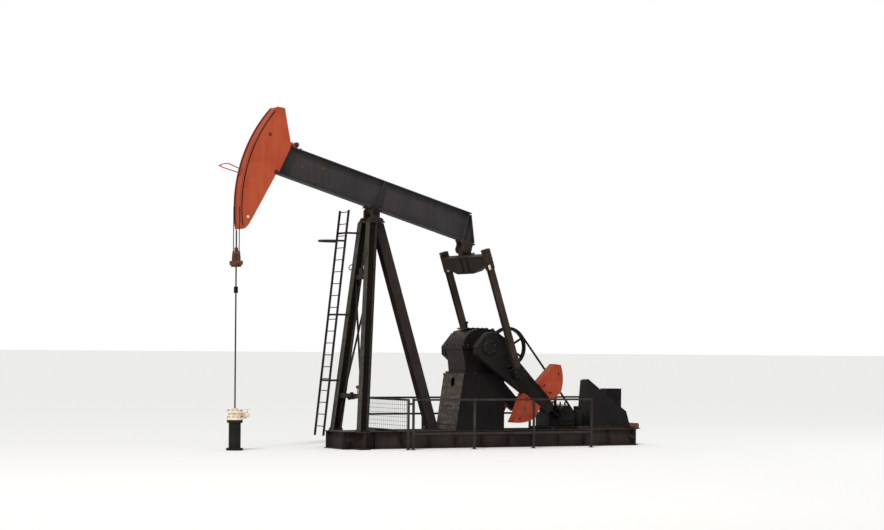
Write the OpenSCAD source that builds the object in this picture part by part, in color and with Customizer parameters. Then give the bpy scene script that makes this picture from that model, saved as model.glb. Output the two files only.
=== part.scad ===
// Beam pumping unit: a walking beam rocked by two weighted cranks lifts the rod of a well.
// X runs from the well to the prime mover, Y across, Z up. The origin is on the ground
// under the centre bearing. The unit stands as it does with its head near the top.

/* [Linkage] */
// Height of the centre bearing above the ground
bearing_h = 6020; // [5900:10:6200]
// Radius of the head's face about the centre bearing
head_r = 3706; // [3600:2:3900]
// Distance along the beam from the centre bearing to the tail bearing
tail_r = 2830; // [2780:10:2880]
// How far the tail bearing lies below the beam's bearing line
tail_drop = 95; // [80:5:110]
// Distance from the centre bearing back to the crank shaft
crank_x = 2950; // [2900:10:3000]
// Height of the crank shaft above the ground
crank_h = 2600; // [2580:10:2650]
// Distance from the crank shaft to the wrist pin
wrist_r = 1025; // [1010:5:1040]
// Angle of the cranks below the level, towards the prime mover
crank_drop = 40.3; // [39:0.1:41.5]
// Slope of the beam as it stands, head up
beam_tilt = 16; // [14:0.5:18]

/* [Beam] */
// Depth of the walking beam
beam_d = 770; // [740:10:790]
// Width of the beam's flanges
beam_w = 256; // [240:4:280]
// Thickness of the beam's flanges
beam_flange = 26; // [18:1:32]
// Thickness of the beam's web
beam_web = 18; // [12:1:24]
// Height of the beam's underside above the bearing line
beam_rise = 88; // [80:2:100]
// Length of the beam ahead of the centre bearing
beam_front = 3150; // [3100:10:3200]
// Length of the beam's top flange behind the centre bearing
beam_back = 2740; // [2720:10:2780]
// How much further the bottom flange reaches
beam_back_step = 330; // [300:10:340]

/* [Head] */
// Width of the head across the wirelines
head_w = 430; // [400:10:460]
// Thickness of the head's side plates
head_plate = 16; // [10:1:22]
// How far the side plates' edge stands out past the face
head_lip = 24; // [8:1:30]
// Angle of the head's face above the bearing line
head_up = 26; // [25:0.5:27]
// Angle of the head's face below the bearing line
head_down = 24.8; // [24:0.2:26]
// Distance between the two wirelines
wire_gap = 350; // [320:10:370]
// Radius of a wireline
wire_r = 12; // [10:1:15]

/* [Post] */
// Side of the front legs' section
leg_s = 225; // [200:5:240]
// Side of the rear leg's section
rear_s = 255; // [230:5:270]
// Thickness of the legs' flanges
leg_t = 20; // [14:1:26]
// Distance of the front feet ahead of the centre bearing
foot_x = 590; // [560:10:620]
// Half the distance between the front feet
foot_y = 755; // [730:5:780]
// Half the distance between the tops of the front legs
top_y = 120; // [110:5:130]
// Distance of the rear foot behind the centre bearing
rear_x = 1790; // [1740:10:1800]
// Length of the cap plate on the post
cap_x = 460; // [440:10:520]
// Width of the cap plate on the post
cap_y = 590; // [560:10:620]
// Thickness of the cap plate
cap_t = 40; // [30:2:50]
// Height of the centre bearing above the cap plate
cap_drop = 240; // [230:5:260]
// Height of the upper crossbar between the front legs
upper_bar_h = 4360; // [4300:10:4400]
// Height of the lower crossbar between the front legs
lower_bar_h = 1335; // [1300:10:1400]
// Side of the crossbars' section
bar_s = 120; // [100:5:130]
// Width of the diagonal braces
brace_s = 70; // [60:5:80]

/* [Ladder] */
// Distance between the ladder's rails
ladder_w = 500; // [460:10:520]
// Height of the ladder's top
ladder_top = 6060; // [6000:10:6080]
// Height of the ladder's lowest end
ladder_low = 310; // [300:10:380]
// Distance from one rung to the next
rung_gap = 305; // [290:5:320]
// Distance of the ladder's top ahead of the centre bearing
ladder_top_x = 565; // [545:5:585]
// Distance of the ladder's top from the middle
ladder_top_y = 420; // [415:5:430]
// Distance of the ladder's foot ahead of the centre bearing
ladder_foot_x = 1055; // [1030:5:1080]
// Distance of the ladder's foot from the middle
ladder_foot_y = 780; // [760:5:800]
// Radius of the hoop round the climber
hoop_r = 330; // [300:10:350]

/* [Base] */
// Height of the base beams
base_h = 450; // [440:10:470]
// Width of the base beams
base_w = 180; // [180:5:210]
// Half the distance between the base beams
base_y = 475; // [465:5:480]
// Length of the base ahead of the centre bearing
base_front = 1010; // [990:10:1040]
// Length of the base behind the centre bearing
base_back = 7800; // [7780:10:7840]

/* [Gear reducer] */
// Half the width of the gear case
case_y = 450; // [430:5:460]
// Radius of the case's round front
case_r = 505; // [490:5:515]
// Depth of the round front's centre below the crank shaft
case_sink = 35; // [30:5:45]
// Depth of the case's underside below the crank shaft
case_deep = 670; // [660:5:690]
// Distance of the input shaft behind the crank shaft
input_x = 740; // [730:5:750]
// Thickness of the flanges where the case is split
split_t = 42; // [36:2:50]
// How far the split flanges stand out
split_out = 45; // [35:5:50]
// Half the width of the pedestal
stand_y = 540; // [535:5:545]
// Thickness of the pedestal's plates
stand_t = 20; // [14:1:26]
// Thickness of the pedestal's top plate
stand_top = 60; // [50:5:70]

/* [Cranks] */
// Radius of the crank shaft
shaft_r = 110; // [100:5:120]
// Length of a crank from the shaft to its tip
crank_l = 2500; // [2450:10:2510]
// Half the width of a crank at its hub
crank_hub = 385; // [370:5:400]
// Half the width of a crank at its tip
crank_tip = 158; // [150:2:170]
// Distance from the middle to a crank's inner face
crank_in = 745; // [740:5:750]
// Thickness of a crank
crank_t = 200; // [190:5:205]
// Thickness of a counterweight
weight_t = 280; // [260:5:285]
// Radius of a counterweight's rounded edge
weight_r = 1030; // [1000:10:1050]
// Distance from the shaft to the leading counterweight
weight_lead = 1710; // [1660:10:1720]
// Distance from the shaft to the trailing counterweight
weight_trail = 1545; // [1520:5:1580]

/* [Pitmans] */
// Distance from the middle to a pitman's centre
pitman_y = 1106; // [1104:1:1115]
// Width of a pitman in its plane of swing
pitman_w = 165; // [150:5:180]
// Thickness of a pitman
pitman_t = 130; // [120:2:140]
// Depth of the equalizer at its middle
equalizer_d = 450; // [420:10:480]
// Depth of the equalizer at its ends
equalizer_end = 260; // [240:10:280]
// Thickness of the equalizer
equalizer_t = 260; // [240:10:280]
// Distance from the tail bearing down to the equalizer's top
equalizer_drop = 190; // [185:5:200]
// Radius of a wrist pin bearing
wrist_hub = 165; // [150:5:175]
// Thickness of a wrist pin bearing
wrist_t = 160; // [150:2:170]

/* [Rod string] */
// Radius of the polished rod
rod_r = 19; // [16:1:22]
// Height of the carrier bar's underside
carrier_h = 4530; // [4500:10:4600]
// Height of the carrier bar
carrier_t = 150; // [130:5:170]
// Length of the carrier bar
carrier_l = 500; // [480:10:520]
// Height of the polished rod's top end
rod_top = 5440; // [5400:10:5500]
// Height of the stuffing box's top
well_top = 1045; // [1000:5:1100]
// Radius of the stuffing box's body
well_r = 205; // [190:5:220]
// Radius of the casing
casing_r = 150; // [140:5:170]

/* [Belt drive] */
// Radius of the large sheave
sheave_r = 520; // [500:10:530]
// Width of the sheaves
sheave_w = 110; // [100:5:115]
// Distance from the middle to the sheaves' centre
belt_y = 615; // [610:1:620]
// Radius of the drive pulley
pulley_r = 190; // [180:5:200]
// Distance of the drive pulley behind the centre bearing
pulley_x = 5480; // [5460:10:5520]
// Height of the drive pulley
pulley_h = 900; // [880:10:920]
// Thickness of the belts
belt_t = 16; // [12:1:20]

/* [Guards] */
// Distance from the middle to the side guards
guard_y = 1283; // [1270:1:1300]
// Height of the guards' top rail
guard_h = 1285; // [1250:5:1300]
// Height of the guards' lower rail
guard_low = 430; // [400:10:450]
// Distance of the front guard behind the centre bearing
guard_x = 550; // [540:10:560]
// Distance of the guards' rear posts behind the centre bearing
guard_end = 5890; // [5860:10:5920]
// Distance of the far guard's end behind the centre bearing
guard_far_end = 7195; // [7150:5:7220]
// Side of the guards' posts and rails
guard_s = 50; // [40:2:54]

/* [Engine] */
// Front of the engine behind the centre bearing
engine_x = 5130; // [5120:10:5150]
// Front of the hood behind the centre bearing
hood_x = 6430; // [6400:10:6460]
// Height of the hood's top
hood_h = 1770; // [1740:10:1790]
// Half the width of the hood at its foot
hood_y = 350; // [320:10:380]

/* [Hidden] */

$fn = 48;
seat = 0.3;
run = 0.08;
past = 5;

black = [0.13, 0.13, 0.14];
steel_black = [0.22, 0.21, 0.21];
orange = [0.70, 0.29, 0.17];
red_orange = [0.84, 0.34, 0.21];
weathered = [0.45, 0.42, 0.39];
rust = [0.45, 0.25, 0.15];
bright = [0.60, 0.60, 0.60];
cream = [0.85, 0.80, 0.68];

// the four-bar linkage as it stands
tail_at = [tail_r * cos(beam_tilt) - tail_drop * sin(beam_tilt),
    bearing_h - tail_r * sin(beam_tilt) - tail_drop * cos(beam_tilt)];
crank_at = [crank_x, crank_h];
wrist_at = crank_at + wrist_r * [cos(crank_drop), -sin(crank_drop)];
pitman_l = norm(wrist_at - tail_at);
pitman_lean = atan2(wrist_at[0] - tail_at[0], tail_at[1] - wrist_at[1]);

cap_top = bearing_h - cap_drop;
post_top = cap_top - cap_t - seat;
foot_plate = 30;
foot_h = base_h + foot_plate + seat;
rod_x = -(head_r + 3 * wire_r + 2 * seat);
input_h = crank_h;
input_r = 48;
case_back = input_x + 215;
case_low = crank_h - case_deep;
shaft_bearing_r = 62;
block_w = 95;
block_gap = 27;
weight_mid = crank_in + crank_t / 2;

near_top = [-110, -top_y - leg_s / 2, post_top];
far_top = [-110, top_y + leg_s / 2, post_top];
near_foot = [-foot_x, -foot_y, foot_h];
far_foot = [-foot_x, foot_y, foot_h];
rear_head = [150, 0, post_top];
rear_foot = [rear_x, 0, foot_h];

// placing
module in_beam() {
    translate([0, 0, bearing_h]) rotate([0, beam_tilt, 0]) children();
}

module in_crank() {
    translate([crank_x, 0, crank_h]) rotate([0, crank_drop, 0]) children();
}

module in_pitman() {
    translate([tail_at[0], 0, tail_at[1]]) rotate([0, -pitman_lean, 0]) children();
}

// a plane figure drawn in X and Z, given a thickness from one Y to another
module slab(y_from, y_to) {
    translate([0, y_to, 0]) rotate([90, 0, 0]) linear_extrude(y_to - y_from) children();
}

module axle(r, y_from, y_to) {
    translate([0, y_to, 0]) rotate([90, 0, 0]) cylinder(r = r, h = y_to - y_from);
}

// a bar from one point to another, whose section keeps its X side in the X-Z plane
module strut(from, to, extra = 0) {
    way = to - from;
    length = norm(way);
    translate(from)
        rotate([-asin(way[1] / length), atan2(way[0], way[2]), 0])
            translate([0, 0, -extra]) linear_extrude(length + 2 * extra) children();
}

module i_section(depth, width, flange, web) {
    union() {
        translate([depth / 2 - flange / 2, 0]) square([flange, width], center = true);
        translate([-depth / 2 + flange / 2, 0]) square([flange, width], center = true);
        square([depth - flange, web], center = true);
    }
}

module between_heights(low, high) {
    intersection() {
        children();
        translate([-5000, -5000, low]) cube([15000, 10000, high - low]);
    }
}

// base
module base_rail(y) {
    translate([-base_front, y, base_h / 2]) rotate([0, 90, 0])
        linear_extrude(base_front + base_back) i_section(base_h, base_w, leg_t, leg_t * 0.7);
}

module base_rail_room(y) {
    translate([-base_front - past, y - base_w / 2 - seat, -past])
        cube([base_front + base_back + 2 * past, base_w + 2 * seat, base_h + 2 * past]);
}

module base_beams() {
    color(steel_black) for (side = [-1, 1]) base_rail(side * base_y);
}

module cross_member(x, half, width = 220) {
    translate([x, -half, base_h / 2]) rotate([-90, 0, 0])
        linear_extrude(2 * half) rotate(90) i_section(base_h, width, leg_t, leg_t * 0.7);
}

module base_ties() {
    color(steel_black) difference() {
        union() {
            cross_member(-base_front + 120, base_y);
            cross_member(0, base_y);
            cross_member(-foot_x, foot_y + leg_s / 2 + 60, leg_s + 60);
            cross_member(rear_x, base_y);
            cross_member(crank_x - 500, base_y);
            cross_member(crank_x + 600, base_y);
            cross_member(engine_x + 100, base_y);
            cross_member(base_back - 120, base_y);
            translate([base_back - 150, -260, base_h - leg_t]) cube([440, 520, leg_t]);
        }
        for (side = [-1, 1]) base_rail_room(side * base_y);
    }
}

// post
module foot_pad(at, side) {
    translate([at[0] - side / 2, at[1] - side / 2, base_h + seat])
        cube([side, side, foot_plate]);
}

module front_leg(head, foot) {
    color(steel_black) union() {
        between_heights(foot_h - seat, post_top)
            strut(foot, head, 300) i_section(leg_s, leg_s, leg_t, leg_t);
        foot_pad(foot, leg_s + 40);
    }
}

module leg_room(head, foot, side) {
    strut(foot, head, 300) square(side + 2 * seat, center = true);
}

// everything from a leg's web outwards
module beyond_web(head, foot, side) {
    inner = leg_t / 2 + seat;
    strut(foot, head, 300)
        translate([-leg_s / 2 - seat, side > 0 ? -inner : inner - leg_s])
            square([leg_s + 2 * seat, leg_s]);
}

module front_leg_near() { front_leg(near_top, near_foot); }

module front_leg_far() { front_leg(far_top, far_foot); }

module rear_leg() {
    color(steel_black) union() {
        between_heights(foot_h - seat, post_top)
            strut(rear_foot, rear_head, 300) rotate(90) i_section(rear_s, rear_s, leg_t, leg_t);
        foot_pad(rear_foot, rear_s + 60);
    }
}

function on_leg(head, foot, z) = foot + (head - foot) * (z - foot[2]) / (head[2] - foot[2]);

module leg_bar(z) {
    near = on_leg(near_top, near_foot, z);
    far = on_leg(far_top, far_foot, z);
    translate([near[0], near[1], z]) rotate([-90, 0, 0])
        linear_extrude(far[1] - near[1]) square(bar_s, center = true);
}

module leg_brace(low, high, shift) {
    translate([shift, 0, 0]) strut(low, high) square([brace_s / 3, brace_s], center = true);
}

module post_braces() {
    low_z = 640;
    high_z = upper_bar_h - bar_s;
    color(steel_black) difference() {
        union() {
            leg_bar(upper_bar_h);
            leg_bar(lower_bar_h);
            leg_brace(on_leg(near_top, near_foot, low_z), on_leg(far_top, far_foot, high_z), 0);
            leg_brace(on_leg(far_top, far_foot, low_z), on_leg(near_top, near_foot, high_z),
                brace_s / 3 + seat);
            translate([on_leg(near_top, near_foot, upper_bar_h)[0] - 70, -80,
                upper_bar_h + bar_s / 2]) cube([140, 160, 150]);
        }
        beyond_web(near_top, near_foot, -1);
        beyond_web(far_top, far_foot, 1);
    }
}

module post_cap() {
    color(steel_black) translate([-cap_x / 2, -cap_y / 2, cap_top - cap_t])
        cube([cap_x, cap_y, cap_t]);
}

module pillow_block(y) {
    drop = cap_drop - seat;
    translate([0, 0, bearing_h]) slab(y - block_w / 2, y + block_w / 2) difference() {
        union() {
            circle(r = shaft_bearing_r + 50);
            translate([-shaft_bearing_r - 50, -drop])
                square([2 * shaft_bearing_r + 100, drop]);
            translate([-210, -drop]) square([420, 60]);
        }
        circle(r = shaft_bearing_r + run);
    }
}

module centre_bearing() {
    at = beam_w / 2 + block_gap + block_w / 2;
    color(steel_black) for (side = [-1, 1]) pillow_block(side * at);
}

// ladder, which runs up beside the far front leg
ladder_foot = [-ladder_foot_x, ladder_foot_y, ladder_low];
ladder_head = [-ladder_top_x, ladder_top_y, ladder_top];
ladder_way = (ladder_head - ladder_foot) / norm(ladder_head - ladder_foot);

function on_ladder(z) = ladder_foot + (ladder_head - ladder_foot)
    * (z - ladder_low) / (ladder_top - ladder_low);

module ladder_rail(side, gap) {
    sideways = [0, side * ladder_w / 2, 0];
    strut(ladder_foot + sideways, ladder_head + sideways)
        square([60 + 2 * gap, 16 + 2 * gap], center = true);
}

module ladder() {
    rung_count = floor((norm(ladder_head - ladder_foot) - 100) / rung_gap);
    color(black) union() {
        for (side = [-1, 1]) ladder_rail(side, 0);
        for (k = [0 : rung_count]) {
            at = ladder_head - ladder_way * (50 + k * rung_gap);
            translate([at[0], at[1] - ladder_w / 2, at[2]]) rotate([-90, 0, 0])
                cylinder(r = 12, h = ladder_w, $fn = 16);
        }
    }
}

// stand-off from the ladder's rails to the far leg's front flange
module stand_off(z) {
    at = on_ladder(z);
    leg = on_leg(far_top, far_foot, z);
    back = at[0] + 30 + seat;
    difference() {
        union() {
            translate([back, leg[1] - 25, z - 25]) cube([leg[0] - back, 50, 50]);
            translate([back, at[1] - ladder_w / 2 - 25, z - 25]) cube([14, ladder_w + 50, 50]);
        }
        leg_room(far_top, far_foot, leg_s);
        for (side = [-1, 1]) ladder_rail(side, seat);
    }
}

module ladder_brackets() {
    color(black) for (z = [5480, 3400, 1720]) stand_off(z);
}

// a flat hoop round the climber, its two pads bearing on the fronts of the rails
module ladder_hoop() {
    hoop_z = 5270;
    band = 50;
    at = on_ladder(hoop_z);
    reach = hoop_r - band;
    open_end = reach - 12;
    pad_y = ladder_w / 2 - 15;
    color(black) union() {
        translate([at[0] - reach, at[1], hoop_z - band / 2]) linear_extrude(band) difference() {
            union() {
                circle(r = hoop_r);
                translate([0, -hoop_r]) square([open_end, 2 * hoop_r]);
            }
            circle(r = hoop_r - 10);
            translate([0, -hoop_r + 10]) square([hoop_r, 2 * hoop_r - 20]);
            translate([open_end, -2 * hoop_r]) square(4 * hoop_r);
        }
        for (side = [-1, 1]) difference() {
            translate([at[0] - 42 - seat, at[1] + (side > 0 ? pad_y : -hoop_r), hoop_z - band / 2])
                cube([20, hoop_r - pad_y, band]);
            ladder_rail(side, seat);
        }
    }
}

// pedestal and gear reducer
stand_front_top = crank_x - 510;
stand_front_low = crank_x - 740;
stand_back = crank_x + 700;
stand_high = case_low - split_out / 3 - seat;

module stand_outline(inset) {
    low = base_h + seat;
    polygon([[stand_front_low + inset, low - (inset > 0 ? past : 0)],
        [stand_back - inset, low - (inset > 0 ? past : 0)],
        [stand_back - inset, stand_high - (inset > 0 ? stand_top : 0)],
        [stand_front_top + inset, stand_high - (inset > 0 ? stand_top : 0)]]);
}

module pedestal() {
    hole_w = 95;
    hole_rise = 30;
    hole_z = stand_high - 225;
    color(weathered) difference() {
        union() {
            slab(-stand_y, stand_y) stand_outline(0);
            translate([stand_front_top - 15, -stand_y - 15, stand_high - stand_top])
                cube([stand_back - stand_front_top + 30, 2 * stand_y + 30, stand_top]);
        }
        slab(-stand_y + stand_t, stand_y - stand_t) stand_outline(stand_t);
        for (rise = [-hole_rise, hole_rise])
            translate([stand_front_low - 200, 0, hole_z + rise]) rotate([0, 90, 0])
                cylinder(r = hole_w, h = 500);
    }
}

module case_front() {
    translate([0, -case_sink]) circle(r = case_r, $fn = 96);
}

module case_back_part() {
    polygon([[-case_r + 30, -case_sink - 120], [0, -case_sink - 60], [0, -case_sink + case_r],
        [input_x - 350, -case_sink + case_r], [case_back - 95, 190], [case_back, 0],
        [case_back, -250], [input_x - 60, -case_deep], [-case_r + 90, -case_deep]]);
}

module case_flange() {
    front = -case_r - split_out;
    translate([front, -split_t]) square([case_back + split_out - front, 2 * split_t]);
}

module case_solid() {
    difference() {
        union() {
            slab(-case_y, case_y) case_front();
            slab(-case_y, case_y) case_back_part();
            slab(-case_y - split_out, case_y + split_out) case_flange();
            slab(-case_y - 40, case_y + 40) circle(r = shaft_r + 95);
            slab(-case_y - 20, case_y + 20) translate([input_x, 0]) circle(r = 110);
        }
        axle(shaft_r + run, -2 * case_y, 2 * case_y);
        translate([input_x, 0, 0]) axle(input_r + run, -2 * case_y, 2 * case_y);
    }
}

module case_half(low, high) {
    intersection() {
        case_solid();
        translate([-2 * case_back, -2 * case_y, low]) cube([4 * case_back, 4 * case_y, high - low]);
    }
}

module reducer_case() {
    foot = case_low - crank_h - split_out / 3;
    color(black) translate([crank_x, 0, crank_h]) union() {
        case_half(-2 * case_deep, 0);
        translate([stand_front_top - crank_x + 20, -case_y - 40, foot])
            cube([stand_back - stand_front_top - 40, 2 * case_y + 80, 50]);
    }
}

module reducer_cover() {
    top = case_r - case_sink;
    color(black) translate([crank_x, 0, crank_h]) union() {
        case_half(seat, 2 * case_r);
        translate([-280, -260, top - past]) cube([640, 520, 35]);
        translate([-160, 0, top]) cylinder(r = 45, h = 85);
    }
}

// guards round the sweep of the cranks
module guard_post(x, y) {
    translate([x - guard_s / 2, y - guard_s / 2, 0]) cube([guard_s, guard_s, guard_h - 1]);
    translate([x - guard_s / 2 - 30, y - guard_s / 2 - 30, 0])
        cube([guard_s + 60, guard_s + 60, 12]);
}

module guard_side(y, end, rails) {
    bays = round((end - guard_x) / 1780);
    color(weathered) union() {
        for (z = rails)
            translate([guard_x, y - guard_s / 2, z - guard_s])
                cube([end - guard_x, guard_s, guard_s]);
        for (k = [0 : bays])
            guard_post(guard_x + guard_s / 2 + k * (end - guard_x - guard_s) / bays, y);
    }
}

module guard_near() { guard_side(-guard_y, guard_end, [guard_low, guard_h]); }

module guard_far() {
    guard_side(guard_y, guard_far_end, [guard_low, (guard_low + guard_h) / 2, guard_h]);
}

// the mesh panel across the front, tied to both side guards
module guard_front() {
    x = guard_x - 118;
    low = base_h + guard_s + seat;
    wire = 7;
    pitch = 110;
    columns = floor((2 * guard_y - guard_s) / pitch);
    rows = floor((guard_h - low - guard_s) / pitch);
    color(weathered) union() {
        for (z = [low, guard_h])
            translate([x - guard_s / 2, -guard_y, z - guard_s])
                cube([guard_s, 2 * guard_y, guard_s]);
        for (side = [-1, 1]) {
            guard_post(x, side * guard_y);
            translate([x, side * guard_y - guard_s / 2, guard_h - 3 * guard_s])
                cube([guard_x - x - seat, guard_s, guard_s]);
        }
        for (k = [1 : columns])
            translate([x - wire / 2, -guard_y + k * 2 * guard_y / (columns + 1) - wire / 2,
                low - guard_s / 2]) cube([wire, wire, guard_h - low]);
        for (k = [1 : rows])
            translate([x - wire / 2, -guard_y, low + k * (guard_h - guard_s - low) / (rows + 1)])
                cube([wire, 2 * guard_y, wire]);
    }
}

// prime mover
module engine_frame() {
    z = base_h + seat;
    frame_l = base_back - engine_x - 30;
    color(steel_black) union() {
        for (side = [-1, 1])
            translate([engine_x - 60, side * 300 - 60, z]) cube([frame_l, 120, 70]);
        for (x = [engine_x - 60, engine_x + 800, engine_x + frame_l - 180])
            translate([x, -560, z]) cube([120, 1120, 60]);
    }
}

module engine_block() {
    floor_z = base_h + 70 + 2 * seat;
    shaft_z = pulley_h;
    color(black) difference() {
        union() {
            translate([engine_x, -330, floor_z]) cube([820, 660, 330]);
            translate([engine_x + 60, -250, floor_z + 300]) cube([700, 500, 190]);
            for (k = [0 : 3])
                translate([engine_x + 120 + k * 150, -210, floor_z + 480]) cube([110, 420, 60]);
            translate([pulley_x, 0, shaft_z]) axle(150, -400, -320);
            translate([engine_x + 500, 150, floor_z + 500]) cylinder(r = 38, h = 430);
        }
        translate([pulley_x, 0, shaft_z]) axle(42 + run, -401, -200);
    }
}

module engine_hood() {
    low = base_h + 70 + 2 * seat;
    color(black) intersection() {
        slab(-hood_y, hood_y) polygon([[hood_x, low], [hood_x - 20, hood_h - 30],
            [hood_x + 60, hood_h], [hood_x + 740, 1232], [hood_x + 1180, 906],
            [hood_x + 1260, low]]);
        translate([hood_x - 100, 0, 0]) rotate([90, 0, 90]) linear_extrude(2000)
            polygon([[-hood_y, low], [-140, hood_h], [140, hood_h], [hood_y, low]]);
    }
}

module air_box() {
    low = base_h + 60 + 2 * seat;
    box_low = 930;
    front = hood_x + 960;
    inner = hood_y + 15;
    color(black) union() {
        translate([front, inner, box_low]) cube([480, 300, 560]);
        translate([front + 20, inner + 20, low]) cube([200, 120, box_low + 1 - low]);
    }
}

module battery_box() {
    color(rust) translate([base_back - 60, -200, base_h + seat]) cube([340, 400, 110]);
}

// well
module wellhead_casing() {
    color(black) translate([rod_x, 0, 0]) difference() {
        union() {
            cylinder(r = casing_r, h = well_top - 290);
            cylinder(r = casing_r + 60, h = 60);
            translate([0, 0, well_top - 350]) cylinder(r = casing_r + 45, h = 60);
        }
        translate([0, 0, -past]) cylinder(r = rod_r + 3, h = well_top);
    }
}

module stuffing_box() {
    low = well_top - 290 + seat;
    color(cream) translate([rod_x, 0, 0]) difference() {
        union() {
            translate([0, 0, low]) cylinder(r = well_r, h = 60);
            translate([0, 0, low + 50]) cylinder(r = well_r - 45, h = 130);
            translate([0, 0, low + 175]) cylinder(r = well_r - 5, h = 55);
            translate([0, 0, low + 225]) cylinder(r = 70, h = well_top - low - 225);
            translate([0, 0, low + 105]) rotate([0, 90, 0]) cylinder(r = 55, h = well_r + 90);
            translate([well_r + 60, 0, low + 105]) rotate([0, 90, 0]) cylinder(r = 80, h = 40);
            translate([well_r + 130, 0, low + 55]) cylinder(r = 50, h = 110);
        }
        translate([0, 0, low - past]) cylinder(r = rod_r + seat, h = 400);
    }
}

// walking beam
module beam_outline() {
    bottom = beam_rise;
    top = beam_rise + beam_d;
    polygon([[-beam_front, bottom], [beam_back + beam_back_step, bottom], [beam_back, top],
        [-beam_front, top]]);
}

module walking_beam() {
    bottom = beam_rise;
    top = beam_rise + beam_d;
    color(black) in_beam() intersection() {
        slab(-beam_w, beam_w) beam_outline();
        union() {
            translate([-beam_front, -beam_w / 2, bottom])
                cube([beam_front + beam_back + beam_back_step, beam_w, beam_flange]);
            translate([-beam_front, -beam_w / 2, top - beam_flange])
                cube([beam_front + beam_back, beam_w, beam_flange]);
            translate([-beam_front, -beam_web / 2, bottom])
                cube([beam_front + beam_back + beam_back_step, beam_web, beam_d]);
            for (x = [90, beam_back - 60])
                translate([x - 9, -beam_w / 2 + 8, bottom])
                    cube([18, beam_w - 16, beam_d - beam_flange / 2]);
        }
    }
}

module beam_saddle() {
    half = beam_w / 2 + 10;
    plate = 30;
    color(steel_black) in_beam() union() {
        axle(shaft_bearing_r, -half - block_w - 25, half + block_w + 25);
        slab(-half, half) circle(r = shaft_bearing_r + 20);
        slab(-half, half) translate([-110, 0]) square([220, beam_rise - seat]);
        translate([-210, -half, beam_rise - seat - plate]) cube([420, 2 * half, plate]);
    }
}

module head_edge() {
    polygon([[-4200, -4200 * tan(head_down)], [-3424, -1582], [-3305, -1502], [-3250, -1394],
        [-3192, -1181], [-2899, 23], [-2839, 108], [-2717, 753], [-2727, 881],
        [-3137, 1685], [-3352, 1652], [-4200, 4200 * tan(head_up)]]);
}

module head_slice(r, gap) {
    intersection() {
        circle(r = r, $fn = 360);
        offset(delta = -gap) head_edge();
    }
}

module horse_head() {
    half = head_w / 2;
    color(orange) in_beam() difference() {
        union() {
            for (side = [-1, 1]) translate([0, side * (half - head_plate / 2), 0])
                slab(-head_plate / 2, head_plate / 2) head_slice(head_r + head_lip, 0);
            slab(-half + head_plate, half - head_plate) difference() {
                head_slice(head_r, 0);
                head_slice(head_r - 24, head_plate);
            }
        }
        // the beam's end runs into the head
        translate([-beam_front - past, -beam_w / 2 - seat, beam_rise - seat])
            cube([1200, beam_w + 2 * seat, beam_d + 2 * seat]);
        translate([-3335, 0, 933]) axle(28, -half - past, half + past);
        translate([-3323, 0, -1213]) axle(38, -half - past, half + past);
    }
}

module head_latch() {
    top = beam_rise + beam_d + seat;
    half = head_w / 2;
    color(red_orange) in_beam() union() {
        translate([-2722, -60, top]) cube([250, 120, 90]);
        translate([-2500, 0, top + 90]) axle(26, -110, 110);
        translate([-2500, 0, top + 90]) axle(60, -60, 60);
        translate([-2710, -half + 40, top + 20]) cube([40, head_w - 80, 60]);
    }
}

// a bent bar standing out of the face, drawn as its outer and inner edge
module guide_loop() {
    y = 95;
    bar = 22;
    plate = 9;
    root = -head_r - plate / 2;
    color(red_orange) in_beam() union() {
        slab(y - bar / 2, y + bar / 2) difference() {
            polygon([[root, -82], [-4060, -50], [-4190, -94], [-4320, -196], [-4186, -213],
                [root, -202]]);
            polygon([[root + past, -106], [-4058, -73], [-4178, -114], [-4262, -182],
                [-4184, -191], [root + past, -180]]);
        }
        translate([-head_r - plate - seat, y - 40, -240]) cube([plate, 80, 190]);
    }
}

wrapped_low = 22.5;

module head_wires() {
    track = head_r + wire_r + seat;
    sweep = wrapped_low + head_up - 0.6;
    color(steel_black) in_beam() for (side = [-1, 1])
        translate([0, side * wire_gap / 2, 0]) rotate([90, 0, 0]) rotate([0, 0, 180 - head_up + 0.6])
            rotate_extrude(angle = sweep, $fn = 180) translate([track, 0]) circle(r = wire_r, $fn = 24);
}

// tail of the beam
tail_pin = 52;

module tail_bearing() {
    inner = 125;
    cheek = 38;
    top = beam_rise - seat;
    color(steel_black) in_beam() union() {
        for (side = [-1, 1])
            slab(side > 0 ? inner : -inner - cheek, side > 0 ? inner + cheek : -inner) union() {
                translate([tail_r, -tail_drop]) circle(r = 108);
                polygon([[tail_r - 108, -tail_drop], [tail_r + 108, -tail_drop],
                    [tail_r + 175, top], [tail_r - 205, top]]);
            }
        translate([tail_r, 0, -tail_drop]) axle(tail_pin, -inner - cheek - 30, inner + cheek + 30);
        translate([tail_r - 215, -inner - cheek, top - 34])
            cube([400, 2 * inner + 2 * cheek, 34]);
    }
}

module equalizer() {
    reach = pitman_y - pitman_t / 2 - seat;
    top = -equalizer_drop;
    belly = 430;
    color(steel_black) in_pitman() difference() {
        union() {
            rotate([90, 0, 90]) translate([0, 0, -equalizer_t / 2]) linear_extrude(equalizer_t)
                polygon([[-reach, top], [reach, top], [reach, top - equalizer_end],
                    [belly, top - equalizer_d], [-belly, top - equalizer_d],
                    [-reach, top - equalizer_end]]);
            slab(-118, 118) union() {
                circle(r = 104);
                polygon([[-104, 0], [104, 0], [150, top - past], [-150, top - past]]);
            }
        }
        axle(tail_pin + run, -200, 200);
    }
}

module pitman(side) {
    top = -40;
    low = -pitman_l + wrist_hub * 0.8;
    color(black) in_pitman() difference() {
        translate([0, side * pitman_y, low]) linear_extrude(top - low) rotate(90)
            i_section(pitman_t, pitman_w, 24, 24);
        translate([0, 0, -pitman_l]) axle(wrist_hub + seat, -2000, 2000);
    }
}

module pitman_near() { pitman(-1); }

module pitman_far() { pitman(1); }

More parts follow.
